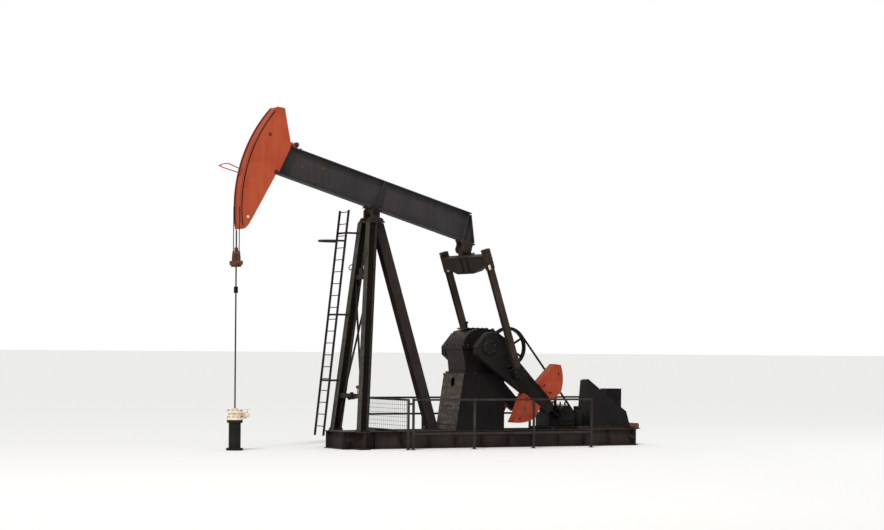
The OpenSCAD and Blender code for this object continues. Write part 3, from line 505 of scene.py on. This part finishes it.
def arcStrip(inner, outer, low, high, start, sweep):
    # a flat bar bent round the Y axis, its section swept from one angle to the next
    clearSelection()
    bpy.ops.mesh.primitive_plane_add(size=1)
    made = bpy.context.object
    made.scale = (outer - inner, high - low, 1)
    applyPlace()
    made.location = ((inner + outer) / 2, (low + high) / 2, 0)
    applyPlace()
    made.rotation_euler = (0, -start, 0)
    applyPlace()
    startEdit()
    bpy.ops.mesh.spin(steps=56, angle=sweep, center=(0, 0, 0), axis=(0, 1, 0))
    bpy.ops.mesh.select_all(action="SELECT")
    bpy.ops.mesh.normals_make_consistent(inside=False)
    endEdit()
    return made


def gusset(width, height, thick):
    # triangular plate in the X-Z plane with its square corner at the origin, cut from a block
    made = block((width, thick, height), (width / 2, 0, -height / 2), 0)
    startEdit()
    bpy.ops.mesh.bisect(plane_co=(width, 0, 0), plane_no=(height, 0, -width), clear_outer=True, use_fill=True)
    endEdit()
    return made


def gather(parts):
    clearSelection()
    for part in parts:
        part.select_set(True)
    bpy.context.view_layer.objects.active = parts[0]
    if len(parts) > 1:
        bpy.ops.object.join()
    applyPlace()
    return bpy.context.object


def copies(pattern, places):
    # one modelled piece set down at several places, each copy with its own mesh
    made = []
    for place in places:
        copy = pattern.copy()
        copy.data = pattern.data.copy()
        bpy.context.scene.collection.objects.link(copy)
        copy.matrix_world = place
        made.append(copy)
    bpy.data.objects.remove(pattern)
    return gather(made)


def settle(parts, name, body, look, place=groundPlace):
    # joins the parts, puts them where they belong, and gives them their finish and the body they ride on
    made = gather(parts)
    made.matrix_world = place @ made.matrix_world
    applyPlace()
    bpy.ops.object.shade_smooth_by_angle(angle=smoothBelow)
    made.name = made.data.name = name
    made.data.materials.clear()
    made.data.materials.append(looks[look])
    if body:
        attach(made, body)
    return made


def facing(point, direction, spin):
    turn = Vector(direction).to_track_quat("Z", "X").to_matrix().to_4x4()
    return Matrix.Translation(point) @ turn @ Matrix.Rotation(spin, 4, "Z")


def hexBolt(size):
    # washer, chamfered hexagon head and a stub of thread, standing on z 0
    washer = drum(size * 1.15, size * 0.16, (0, 0, size * 0.08), "Z", 20, size * 0.03)
    head = drum(size, size * 0.72, (0, 0, size * 0.5), "Z", 6, size * 0.12)
    stub = drum(size * 0.5, size * 0.5, (0, 0, size * 1.05), "Z", 12, size * 0.08)
    return gather([washer, head, stub])


def boltSet(name, body, size, spots, place=groundPlace, look="boltSteel"):
    # each spot is a point and the way that the bolt's head looks; every head is turned by chance
    places = [facing(point, direction, random.uniform(0, 1.0)) for point, direction in spots]
    settle([copies(hexBolt(size), places)], name, body, look, place)


def evenAngles(count, first=0.0):
    return [math.radians(first + k * 360 / count) for k in range(count)]


def circleSpots(centre, radius, angles, side):
    # bolts on a circle round a shaft that runs across, looking out to one side
    x, y, z = centre
    return [((x + radius * math.cos(a), y, z + radius * math.sin(a)), (0, side, 0)) for a in angles]


def cornerSpots(centre, halfX, halfY):
    # four bolts at the corners of a foot or plate, their heads up
    x, y, z = centre
    return [((x + dx * halfX, y + dy * halfY, z), up) for dx in bothSides for dy in bothSides]


print("modelling")


def buildBeamFittings():
    # in the beam's own frame u runs along it, v across and n up
    beam = {"low": 0.088, "high": 0.858, "web": 0.009, "bolt": 0.026, "foot": 0.026,
            "latchBolts": (-2.62, -2.5, -2.38), "footBolts": (-0.16, 0.16, 2.70, 2.96),
            "pads": ((0.604, 0.204), (-2.178, 0.441), (-1.607, 0.617), (-1.731, 0.203)),
            "padRadius": 0.045, "studRadius": 0.020,
            "weldEnds": (-2.7, 2.72), "weldOut": 0.011, "weldInset": 0.030, "weldRadius": 0.007,
            "endPlate": (0.02, 0.24, 0.74), "endPlace": (2.885, 0, 0.47), "endLean": -23.2}
    spots = [((u, v, beam["high"]), up) for u in beam["latchBolts"] for v in (-0.09, 0.09)]
    spots += [((u, v, beam["low"] + beam["foot"]), up) for u in beam["footBolts"] for v in (-0.1, 0.1)]
    boltSet("beamBolts", "beam", beam["bolt"], spots, beamPlace)
    pads = []
    for u, n in beam["pads"]:
        pads.append(drum(beam["padRadius"], 0.016, (u, -beam["web"] - 0.008, n), "Y", 24))
        pads.append(drum(beam["studRadius"], 0.026, (u, -beam["web"] - 0.014, n), "Y", 16, 0.003))
    settle(pads, "webPads", "beam", "rustyCast", beamPlace)
    start, end = beam["weldEnds"]
    seams = []
    for side in bothSides:
        y = side * beam["weldOut"]
        for n in (beam["low"] + beam["weldInset"], beam["high"] - beam["weldInset"]):
            seams.append(rodBetween((start, y, n), (end, y, n), beam["weldRadius"], 8))
    settle(seams, "webWelds", "beam", "beamBlack", beamPlace)
    cap = block(beam["endPlate"])
    cap.matrix_world = Matrix.Translation(beam["endPlace"]) @ Matrix.Rotation(math.radians(beam["endLean"]), 4, "Y")
    settle([cap], "beamEndPlate", "beam", "beamBlack", beamPlace)


def buildHeadFittings():
    head = {"radius": 3.73, "half": 0.215, "rim": 0.010, "joint": 0.0025, "shadowWidth": 0.035,
            "rimArc": (155.2, 48.4), "shadowArc": (155.6, 47.8), "weldArc": (155.0, 49.0),  # start, sweep
            "weldSteps": 26,
            "weldIn": 0.012, "weldRadius": 0.006, "pin": (-3.335, 0.933), "eye": (-3.323, -1.213),
            "roller": (-2.5, 0, 0.9483), "holdDown": (-2.91, 0.09)}
    radius, half = head["radius"], head["half"]
    # weld beads along both side plates, just inside the face
    seams = []
    first, sweep = head["weldArc"]
    for side in bothSides:
        y = side * (half + 0.003)
        path = []
        for k in range(head["weldSteps"] + 1):
            a = math.radians(first + sweep - k * sweep / head["weldSteps"])
            path.append(((radius - head["weldIn"]) * math.cos(a), y, (radius - head["weldIn"]) * math.sin(a)))
        seams += [rodBetween(a, b, head["weldRadius"], 6) for a, b in zip(path, path[1:])]
    settle(seams, "headEdgeWelds", "beam", "headOrange", beamPlace)

    def sideStrips(inner, outer, thick, arc):
        start, sweep = (math.radians(angle) for angle in arc)
        strips = []
        for side in bothSides:
            low, high = sorted((side * half, side * (half + thick)))
            strips.append(arcStrip(inner, outer, low, high, start, sweep))
        return strips

    rims = sideStrips(radius - 0.011, radius - 0.001, head["rim"], head["rimArc"])
    # painted shadow: a thin dark strip on each side plate, just under the rim, stands for the shadow that the rim
    # casts there
    rimShadows = sideStrips(radius - 0.012 - head["shadowWidth"], radius - 0.012, head["joint"], head["shadowArc"])
    settle(rims, "headRims", "beam", "headOrange", beamPlace)
    settle(rimShadows, "headRimShadows", "beam", "crankBlack", beamPlace)
    x, z = head["pin"]
    lugs = []
    for side in bothSides:
        y = side * (half + 0.008)
        lugs.append(drum(0.040, 0.012, (x, y, z), "Y", 28, 0.003))
        lugs.append(drum(0.024, 0.03, (x, y, z), "Y", 20, 0.003))
    settle(lugs, "headPivotPins", "beam", "boltSteel", beamPlace)
    x, z = head["eye"]
    eyes = [ring(0.045, 0.009, (x, side * half, z), "Y", 32) for side in bothSides]
    settle(eyes, "headLiftingEyes", "beam", "headOrange", beamPlace)
    plugs = [drum(0.036, 0.02, (x, side * (half - 0.006), z), "Y", 28, 0.003) for side in bothSides]
    settle(plugs, "liftingEyePlugs", "beam", "wellCream", beamPlace)
    roller = [drum(0.063, 0.13, head["roller"], "Y", 32, 0.006), drum(0.030, 0.235, head["roller"], "Y", 20)]
    settle(roller, "latchRoller", "beam", "boltSteel", beamPlace)
    x, z = head["holdDown"]
    plates = []
    for side in bothSides:
        plates.append(block((0.10, 0.012, 0.10), (x, side * (half + 0.006), z), 0.003))
        plates.append(drum(0.028, 0.05, (x, side * (half + 0.02), z), "Y", 20))
    settle(plates, "headHoldDowns", "beam", "boltSteel", beamPlace)


def buildPostFittings():
    post = {"capTop": 5.78, "capBolts": (0.19, 0.26), "bearingFoot": 5.8403, "bearingBolt": 0.024,
            "bearingBoltX": (-0.165, 0.165), "bearingBoltY": (0.178, 0.230), "strap": (0.3, 0.075, 0.02),
            "strapY": 0.2025, "strapRise": 0.105, "shaftEnd": 0.085, "shaftEndY": 0.262,
            "footTop": 0.4803, "footBolt": 0.026, "frontFoot": (-0.59, 0.755), "frontBolts": (0.115, 0.105),
            "rearFoot": 1.79, "rearBolts": (0.14, 0.13),
            "hook": ((-0.30, 0.40, 4.70), (-0.40, 0.40, 4.66), (-0.44, 0.40, 4.60), (-0.40, 0.40, 4.54),
                     (-0.36, 0.40, 4.56)),
            "knob": (-0.36, 0.0, 1.56), "regulator": (-0.58, -0.12)}
    spots = cornerSpots((0, 0, post["capTop"]), *post["capBolts"])
    spots += [((x, side * y, post["bearingFoot"]), up)
              for x in post["bearingBoltX"] for side in bothSides for y in post["bearingBoltY"]]
    boltSet("bearingBolts", "base", post["bearingBolt"], spots)
    z = beamPivot.z
    ends = [drum(post["shaftEnd"], 0.02, (0, side * post["shaftEndY"], z), "Y", 32, 0.005) for side in bothSides]
    settle(ends, "saddleShaftEnds", "beam", "gearBlack")
    straps = [block(post["strap"], (0, side * post["strapY"], z + post["strapRise"])) for side in bothSides]
    settle(straps, "bearingCapStraps", "base", "gearBlack")
    x, y = post["frontFoot"]
    feet = []
    for side in bothSides:
        feet += cornerSpots((x, side * y, post["footTop"]), *post["frontBolts"])
    feet += cornerSpots((post["rearFoot"], 0, post["footTop"]), *post["rearBolts"])
    boltSet("footBolts", "base", post["footBolt"], feet)
    settle([bentTube(post["hook"], 0.012)], "legHook", "base", "ladderBlack")
    x, y, z = post["knob"]
    knob = [rodBetween((x, y, z - 0.16), (x, y, z - 0.03), 0.010), ball(0.045, post["knob"], 20, 12)]
    settle(knob, "ballKnob", "base", "rustyCast")
    x, y = post["regulator"]
    regulator = [drum(0.06, 0.10, (x, y, 1.30), "Z", 24, 0.008), drum(0.045, 0.09, (x, y, 1.39), "Z", 20, 0.012),
                 drum(0.024, 0.30, (x, y, 1.28), "Y", 16, 0.003),
                 drum(0.05, 0.02, (x, y + 0.14, 1.28), "Y", 20, 0.003),
                 drum(0.035, 0.16, (x + 0.05, y, 1.335), "X", 16, 0.003)]
    settle(regulator, "gasRegulator", "base", "gearBlack")


def buildPedestalFittings():
    pedestal = {"half": 0.54, "top": 1.8547, "front": 2.44, "run": 0.23, "rise": 1.4044, "lean": 9.3,
                "gusset": (0.0153, 0.16, 0.014), "gussets": 7, "gussetPitch": 0.17, "bolt": 0.026,
                "bolts": (2.50, 2.80, 3.10, 3.40, 3.60), "bands": (1.10, 0.62), "band": (0.016, 1.06, 0.05)}
    places = []
    for side in bothSides:
        for k in range(pedestal["gussets"]):
            point = (pedestal["front"] + 0.10 + k * pedestal["gussetPitch"], side * (pedestal["half"] - 0.002),
                     pedestal["top"])
            places.append(Matrix.Translation(point) @ Matrix.Rotation(math.radians(90 * side), 4, "Z"))
    # the top plate's edge stands out little, so the gussets under it are narrow
    settle([copies(gusset(*pedestal["gusset"]), places)], "pedestalGussets", "base", "pedestalGrey")
    spots = [((x, side * (pedestal["half"] - 0.05), pedestal["top"] + 0.06), up)
             for side in bothSides for x in pedestal["bolts"]]
    boltSet("pedestalBolts", "base", pedestal["bolt"], spots)
    bands = []
    turn = Matrix.Rotation(math.radians(pedestal["lean"]), 4, "Y")
    for z in pedestal["bands"]:
        x = pedestal["front"] - (pedestal["top"] - z) * pedestal["run"] / pedestal["rise"]
        bar = block(pedestal["band"])
        bar.matrix_world = Matrix.Translation((x - 0.006, 0, z)) @ turn
        bands.append(bar)
    settle(bands, "pedestalBands", "base", "pedestalGrey")


def buildReducerFittings():
    gear = {"half": 0.495, "front": 2.40, "back": 3.95, "flange": 0.042, "splitBolt": 0.024,
            "sideBolts": (2.46, 2.58, 3.24, 3.38, 3.52, 3.88), "endBolts": (-0.38, -0.19, 0.0, 0.19, 0.38),
            "crankCap": (0.175, 0.49, 8, 22.5), "inputCap": (0.088, 0.47, 6, 30),  # radius, y, count, first angle
            "capBolt": 0.016,
            "coverTop": 3.10, "coverBolts": (2.71, 2.86, 3.0, 3.15, 3.27), "coverBolt": 0.013,
            "ribs": (((0.03, 0.05, 0.42), (2.62, 3.30, 3.48), 0.455, 2.36),  # size, all x, y, z
                     ((0.95, 0.04, 0.035), (3.0,), 0.455, 2.12),
                     ((0.03, 0.045, 0.28), (2.62, 3.32), 0.452, 2.78)),
            "breather": 2.79, "lugs": ((2.62, 2.97), (3.42, 3.05))}
    split = crankCentre.z + gear["flange"]
    spots = [((x, side * (gear["half"] - 0.022), split), up) for side in bothSides for x in gear["sideBolts"]]
    for y in gear["endBolts"]:
        spots += [((gear["front"] + 0.035, y, split), up), ((gear["back"] - 0.02, y, split), up)]
    boltSet("splitBolts", "base", gear["splitBolt"], spots)
    caps = []
    for side in bothSides:
        for shaft, (radius, out, count, first) in ((crankCentre, gear["crankCap"]), (inputShaft, gear["inputCap"])):
            caps += circleSpots((shaft.x, side * out, shaft.z), radius, evenAngles(count, first), side)
    boltSet("capBolts", "base", gear["capBolt"], caps)
    covers = [((x, y, gear["coverTop"]), up) for x in gear["coverBolts"] for y in (-0.23, 0.23)]
    boltSet("coverBolts", "base", gear["coverBolt"], covers)
    ribs = [block(size, (x, side * y, z), 0.008)
            for side in bothSides for size, allX, y, z in gear["ribs"] for x in allX]
    settle(ribs, "caseRibs", "base", "gearBlack")
    x = gear["breather"]
    breather = [drum(0.04, 0.10, (x, 0, 3.20), "Z", 20), drum(0.062, 0.045, (x, 0, 3.245), "Z", 24, 0.012)]
    settle(breather, "breatherCap", "base", "gearBlack")
    lugs = [ring(0.04, 0.012, (x, side * 0.30, z)) for x, z in gear["lugs"] for side in bothSides]
    settle(lugs, "liftingLugs", "base", "gearBlack")


def weightSpots(lead, trail, out):
    # the near crank carries both weights, the far one only the trailing weight
    return [((x, side * out, z), (0, side, 0))
            for side in bothSides for x, z in (lead + trail if side < 0 else trail)]


def buildCrankFittings():
    # in the crank's own frame x runs along it and z out of its leading edge
    crank = {"face": 0.945, "weightFace": 0.985, "pinHoles": (0.84, 1.21), "hubRadius": 0.20, "hubBolt": 0.018,
             "leadHoles": ((1.888, 0.317), (2.16, 0.292), (2.026, 0.822)),
             "trailHoles": ((1.74, -0.317), (1.995, -0.292), (1.895, -0.822)),
             "leadBolts": ((1.82, 0.262), (2.08, 0.262)), "trailBolts": ((1.66, -0.262), (1.94, -0.262)),
             "weightBolt": 0.042, "patch": (1.80, -0.988, -0.56)}
    holes = weightSpots(crank["leadHoles"], crank["trailHoles"], crank["weightFace"])
    rims = [ring(0.034, 0.007, point) for point, direction in holes]
    settle(rims, "weightHoleRims", "cranks", "weightOrange", crankPlace)
    studs = weightSpots(crank["leadBolts"], crank["trailBolts"], crank["weightFace"] + 0.0005)
    boltSet("weightBolts", "cranks", crank["weightBolt"], studs, crankPlace, "weightOrange")
    hubs = []
    for side in bothSides:
        hubs.append(drum(crank["hubRadius"], 0.045, (0, side * 0.9675, 0), "Y", 48, 0.012))
        hubs.append(block((0.05, 0.03, 0.05), (0.0, side * 0.975, 0.12), 0.006))
    settle(hubs, "crankHubFaces", "cranks", "crankBlack", crankPlace)
    ends = []
    for side in bothSides:
        ends += circleSpots((0, side * 0.990, 0), 0.155, evenAngles(6), side)
    boltSet("hubBolts", "cranks", crank["hubBolt"], ends, crankPlace)
    bosses = [ring(0.062, 0.014, (x, side * crank["face"], 0), "Y", 32)
              for side in bothSides for x in crank["pinHoles"]]
    settle(bosses, "pinHoleBosses", "cranks", "crankBlack", crankPlace)
    settle([drum(0.10, 0.006, crank["patch"], "Y", 32, 0.002)], "weightBoss", "cranks", "boxRust", crankPlace)


def buildPitmanFittings():
    # in the pitmans' own frame the tail pin is the origin and z runs up along them
    pitman = {"length": 3.375, "half": 1.106, "bolt": 0.019, "bearingBolts": 0.13,
              "clampBolts": (-0.17, -0.26, -0.35), "clamp": (0.235, 0.10, 0.47), "clampZ": -0.345,
              "topPlate": (0.20, 0.16, 0.06), "topPlateZ": -0.075, "cap": (0.07, 0.03, 0.13),
              "capPlace": (-0.045, 0.059, -0.515)}
    half = pitman["half"]
    bolts, plates = [], []
    for side in bothSides:
        bearing = (0, side * (half + 0.081), -pitman["length"])
        bolts += circleSpots(bearing, pitman["bearingBolts"], evenAngles(6, 30), side)
        bolts += [((x, side * (half + 0.052), z), (0, side, 0))
                  for x in (-0.05, 0.05) for z in pitman["clampBolts"]]
        plates.append(block(pitman["clamp"], (0, side * (half - 0.002), pitman["clampZ"]), 0.010))
        plates.append(block(pitman["topPlate"], (0, side * half, pitman["topPlateZ"]), 0.008))
    boltSet("pitmanBolts", "pitmans", pitman["bolt"], bolts, pitmanPlace)
    settle(plates, "pitmanClamps", "pitmans", "pitmanBlack", pitmanPlace)
    x, y, z = pitman["capPlace"]
    caps = [block(pitman["cap"], (x, side * half + face * y, z), 0.013) for side in bothSides for face in bothSides]
    settle(caps, "pitmanCaps", "pitmans", "wellCream", pitmanPlace)


def buildEqualizerFittings():
    bar = {"innerRib": (0.014, 0.38, 0.18), "endRib": (0.24, 0.018, 0.20), "face": 0.137,
           "topSeam": (1.90, -0.204), "lowSeam": (0.80, -0.626), "shadePlate": (0.018, 0.17, 0.37),
           "shadePlates": (-0.17, 0.14), "seat": (0.34, 0.46, 0.028), "seatZ": -0.176, "seatBolt": 0.020,
           "seatBolts": (0.145, 0.19), "pin": (2.83, -0.095), "pinBolt": 0.012,
           "pinBolts": (0.4, 1.57, 2.74, 3.9, 5.5)}
    ribs = []
    for side in bothSides:
        ribs.append(block(bar["innerRib"], (0.124, side * 0.62, -0.30), 0.003))
        ribs.append(block(bar["endRib"], (0, side * 0.40, -0.30), 0.003))
    for face in bothSides:
        for length, z in (bar["topSeam"], bar["lowSeam"]):
            ribs.append(block((0.020, length, 0.024), (face * bar["face"], 0, z)))
    settle(ribs, "equalizerRibs", "pitmans", "equalizerBrown", pitmanPlace)
    # painted shade: two dark plates on each face of the equalizer; their dark colour stands for bands of shade
    # across its middle
    shadePlates = [block(bar["shadePlate"], (face * (bar["face"] - 0.001), y, -0.415))
                for face in bothSides for y in bar["shadePlates"]]
    settle(shadePlates, "equalizerShadePlates", "pitmans", "crankBlack", pitmanPlace)
    # the two bearings of the tail pin belong to the beam and are placed in its frame
    x, z = bar["pin"]
    housings, bolts = [], []
    for side in bothSides:
        housings.append(drum(0.128, 0.062, (x, side * 0.195, z), "Y", 40, 0.008))
        housings.append(block((0.252, 0.058, 0.17), (x, side * 0.194, z + 0.085), 0.008))
        housings.append(drum(0.085, 0.02, (x, side * 0.232, z), "Y", 32, 0.006))
        bolts += circleSpots((x, side * 0.226, z), 0.105, bar["pinBolts"], side)
    settle(housings, "tailHousings", "beam", "postBlack", beamPlace)
    boltSet("tailHousingBolts", "beam", bar["pinBolt"], bolts, beamPlace)
    z = bar["seatZ"]
    settle([block(bar["seat"], (0, 0, z), 0.006)], "equalizerSeat", "pitmans", "postBlack", pitmanPlace)
    spots = cornerSpots((0, 0, z + 0.014), *bar["seatBolts"])
    boltSet("equalizerSeatBolts", "pitmans", bar["seatBolt"], spots, pitmanPlace)


def buildWellFittings():
    well = {"flange": 0.178, "flangeBolt": 0.016, "aboveFlanges": (0.8153, 0.985), "belowFlange": 0.695,
            "valve": 0.335, "valveZ": 1.01, "glandZ": 1.03}
    spots = []
    for a in evenAngles(10, 18):
        boltX, boltY = wellX + well["flange"] * math.cos(a), well["flange"] * math.sin(a)
        spots += [((boltX, boltY, z), up) for z in well["aboveFlanges"]]
        spots.append(((boltX, boltY, well["belowFlange"]), down))
    boltSet("flangeBolts", "base", well["flangeBolt"], spots)
    valveX, z = wellX + well["valve"], well["valveZ"]
    wheel = [ring(0.075, 0.009, (valveX, 0, z), "Z", 32), drum(0.016, 0.16, (valveX, 0, z - 0.065), "Z", 12, 0.003)]
    wheel.append(rodBetween((valveX - 0.07, 0, z), (valveX + 0.07, 0, z), 0.006))
    wheel.append(rodBetween((valveX, -0.07, z), (valveX, 0.07, z), 0.006))
    settle(wheel, "valveHandwheel", "base", "wellCream")
    z = well["glandZ"]
    gland = [drum(0.058, 0.03, (wellX, 0, z), "Z", 32, 0.006), ring(0.063, 0.008, (wellX, 0, z - 0.03), "Z", 32)]
    settle(gland, "glandNut", "base", "wellCream")


def buildCarrierFittings():
    carrier = {"wireY": 0.175, "wireRadius": 0.012, "collarZ": 4.755, "barEndY": 0.235, "barEndZ": 4.635,
               "socketZ": 4.84, "upperClampZ": 4.951, "lowerCollarZ": 3.965, "clampBolt": 0.012, "clampZ": 4.72}
    x, wireY = wellX, carrier["wireY"]
    # the wires stretch between the carrier and the level where they leave the head
    low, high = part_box("hanging_wires")
    wires = [rodBetween((x, side * wireY, low.z), (x, side * wireY, high.z), carrier["wireRadius"], 24)
             for side in bothSides]
    wires = settle(wires, "hangingWires", None, "wireRope")
    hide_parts("hanging_wires")
    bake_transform(wires)
    collars, sockets = [], []
    for side in bothSides:
        collars.append(ring(0.028, 0.012, (x, side * wireY, carrier["collarZ"]), "Z"))
        collars.append(block((0.15, 0.04, 0.03), (x, side * carrier["barEndY"], carrier["barEndZ"]), 0.006))
    settle(collars, "socketCollars", "rods", "rustyCast")
    for side in bothSides:
        clearSelection()
        bpy.ops.mesh.primitive_cone_add(vertices=32, radius1=0.040, radius2=0.022, depth=0.17,
                                        location=(x, side * wireY, carrier["socketZ"]))
        sockets.append(bpy.context.object)
    settle(sockets, "wireSockets", "rods", "rustyCast")
    clamp = block((0.074, 0.08, 0.12), (x, 0, carrier["upperClampZ"]), 0.008)
    settle([clamp], "upperRodClamp", "rods", "rustyCast")
    z = carrier["lowerCollarZ"]
    collar = [drum(0.053, 0.074, (x, 0, z + dz), "Z", 36, 0.006) for dz in (-0.042, 0.042)]
    collar.append(drum(0.050, 0.15, (x, 0, z), "Z", 36))
    settle(collar, "lowerCollar", "rods", "crankBlack")
    spots = [((x + dx, side * 0.05, carrier["clampZ"] + dz), (0, side, 0))
             for side in bothSides for dx in (-0.032, 0.032) for dz in (0.0, 0.06)]
    boltSet("clampBolts", "rods", carrier["clampBolt"], spots)


def buildBeltDrive():
    drive = {"y": -0.615, "sheave": 0.516, "pulley": 0.186, "pulleyPlace": (5.48, 0.9), "groove": 0.0048,
             "grooves": (-0.047, -0.0235, 0.0, 0.0235, 0.047), "bolt": 0.012, "bolts": (0.5, 2.59, 4.69)}
    x, y, z = inputShaft.x, drive["y"], inputShaft.z
    grooves = [ring(drive["sheave"], drive["groove"], (x, y + dy, z), "Y", 96, 6) for dy in drive["grooves"]]
    settle(grooves, "sheaveGrooves", "sheave", "gearBlack")
    hub = [drum(0.085, 0.15, (x, y, z), "Y", 32, 0.008), ring(0.115, 0.02, (x, y, z), "Y", 40)]
    settle(hub, "sheaveHub", "sheave", "gearBlack")
    pulleyX, pulleyZ = drive["pulleyPlace"]
    small = [ring(drive["pulley"], drive["groove"], (pulleyX, y + dy, pulleyZ), "Y", 56, 6)
             for dy in drive["grooves"]]
    small.append(drum(0.07, 0.13, (pulleyX, y, pulleyZ), "Y", 28, 0.006))
    settle(small, "pulleyGrooves", "pulley", "gearBlack")
    boltSet("sheaveBolts", "sheave", drive["bolt"], circleSpots((x, y - 0.075, z), 0.07, drive["bolts"], -1))


def buildEngineFittings():
    engine = {"x": 5.13, "cylinders": 4, "cylinderPitch": 0.15, "fins": (1.035, 1.065, 1.095), "doorPitch": 0.18,
              "exhaust": ((5.24, 0.16, 1.02), (5.40, 0.26, 1.10), (5.63, 0.16, 1.16), (5.63, 0.15, 1.50)),
              "exhaustRadius": 0.034, "hoodFoot": 0.5206, "hoodRise": 1.2494, "hoodHalf": 0.35, "hoodNarrows": 0.21,
              "hoodRear": 6.422, "hoodLean": 0.016, "louvres": 12, "louvrePitch": 0.085, "lid": (7.93, 0, 0.571),
              "airBox": (7.63, 0.515, 1.498), "slats": 8, "slatPitch": 0.056}
    fins = []
    for k in range(engine["cylinders"]):
        x = engine["x"] + 0.175 + k * engine["cylinderPitch"]
        fins += [block((0.118, 0.46, 0.008), (x, 0, z), 0.002) for z in engine["fins"]]
        fins.append(drum(0.022, 0.10, (x, -0.14, 1.12), "Z", 14))
    settle(fins, "cylinderFins", "base", "gearBlack")
    settle([bentTube(engine["exhaust"], engine["exhaustRadius"], 14)], "exhaustPipe", "base", "boxRust")
    doors = [drum(0.045, 0.012, (engine["x"] + 0.14 + k * engine["doorPitch"], -0.336, 0.70), "Y", 24)
             for k in range(engine["cylinders"])]
    doors.append(block((0.70, 0.012, 0.10), (engine["x"] + 0.41, -0.336, 0.58)))
    settle(doors, "crankcaseDoors", "base", "gearBlack")
    tank = [drum(0.16, 0.42, (6.16, -0.10, 0.74), "Z", 32, 0.02),
            drum(0.10, 0.10, (6.16, -0.10, 1.0), "Z", 28, 0.02),
            block((0.30, 0.34, 0.26), (6.12, 0.22, 0.66), 0.02)]
    settle(tank, "filterHousing", "base", "gearBlack")
    louvres = []
    for k in range(engine["louvres"]):
        z = 0.62 + k * engine["louvrePitch"]
        half = engine["hoodHalf"] - engine["hoodNarrows"] * (z - engine["hoodFoot"]) / engine["hoodRise"]
        x = engine["hoodRear"] - engine["hoodLean"] * (z - 0.52)
        louvres.append(block((0.018, 2 * half - 0.06, 0.012), (x, 0, z), 0.003))
    settle(louvres, "hoodLouvres", "base", "gearBlack")
    x, y, z = engine["lid"]
    lid = [block((0.30, 0.36, 0.02), (x, y, z)), block((0.04, 0.10, 0.05), (x - 0.17, y, z - 0.021))]
    settle(lid, "batteryLid", "base", "boxRust")
    x, y, z = engine["airBox"]
    slats = [block((0.50, 0.32, 0.016), (x, y, z))]
    slats += [block((0.42, 0.010, 0.02), (x, y - 0.154, 1.0 + k * engine["slatPitch"]), 0.003)
              for k in range(engine["slats"])]
    settle(slats, "airBoxSlats", "base", "gearBlack")


def buildGuardFittings():
    guard = {"y": 1.283, "top": 1.285, "cap": (0.07, 0.07, 0.010), "footTop": 0.012, "footBolt": 0.009,
             "footBolts": (0.04, 0.04),
             "posts": {-1: (0.575, 2.338, 4.102, 5.865), 1: (0.575, 2.224, 3.873, 5.521, 7.17)}}
    posts = [(x, side * guard["y"]) for side in bothSides for x in guard["posts"][side]]
    caps = [block(guard["cap"], (x, y, guard["top"] + 0.004), 0.003) for x, y in posts]
    settle(caps, "guardPostCaps", "base", "guardRust")
    feet = []
    for x, y in posts:
        feet += cornerSpots((x, y, guard["footTop"]), *guard["footBolts"])
    boltSet("guardFootBolts", "base", guard["footBolt"], feet)


def buildBaseFittings():
    base = {"beamY": 0.475, "middle": 0.225, "stiffeners": 12, "first": -0.9, "pitch": 0.78,
            "stiffener": (0.012, 0.078, 0.40), "pins": (-0.86, 7.62), "pinRadius": 0.05}
    ribs = []
    for side in bothSides:
        for k in range(base["stiffeners"]):
            for face in bothSides:
                place = (base["first"] + k * base["pitch"], side * base["beamY"] + face * 0.047, base["middle"])
                ribs.append(block(base["stiffener"], place, 0.003))
    settle(ribs, "baseStiffeners", "base", "postBlack")
    pins = [drum(base["pinRadius"], 0.20, (x, side * base["beamY"], base["middle"]), "Y", 24)
            for side in bothSides for x in base["pins"]]
    settle(pins, "skidPins", "base", "postBlack")


def buildFloor():
    floorLook = {"size": 1600, "colour": (0.93, 0.93, 0.92, 1.0), "rough": 0.9}
    clearSelection()
    bpy.ops.mesh.primitive_plane_add(size=floorLook["size"], location=(0, 0, 0))
    floor = bpy.context.object
    applyPlace()
    floor.name = "studioFloor"
    finish = Finish("studioFloor")
    finish.set(Base_Color=floorLook["colour"], Roughness=floorLook["rough"], Specular_IOR_Level=0.0)
    floor.data.materials.append(finish.material)


for build in (buildBeamFittings, buildHeadFittings, buildPostFittings, buildPedestalFittings, buildReducerFittings,
              buildCrankFittings, buildPitmanFittings, buildEqualizerFittings, buildWellFittings,
              buildCarrierFittings, buildBeltDrive, buildEngineFittings, buildGuardFittings, buildBaseFittings,
              buildFloor):
    build()
    print(build.__name__, "done")

clearSelection()
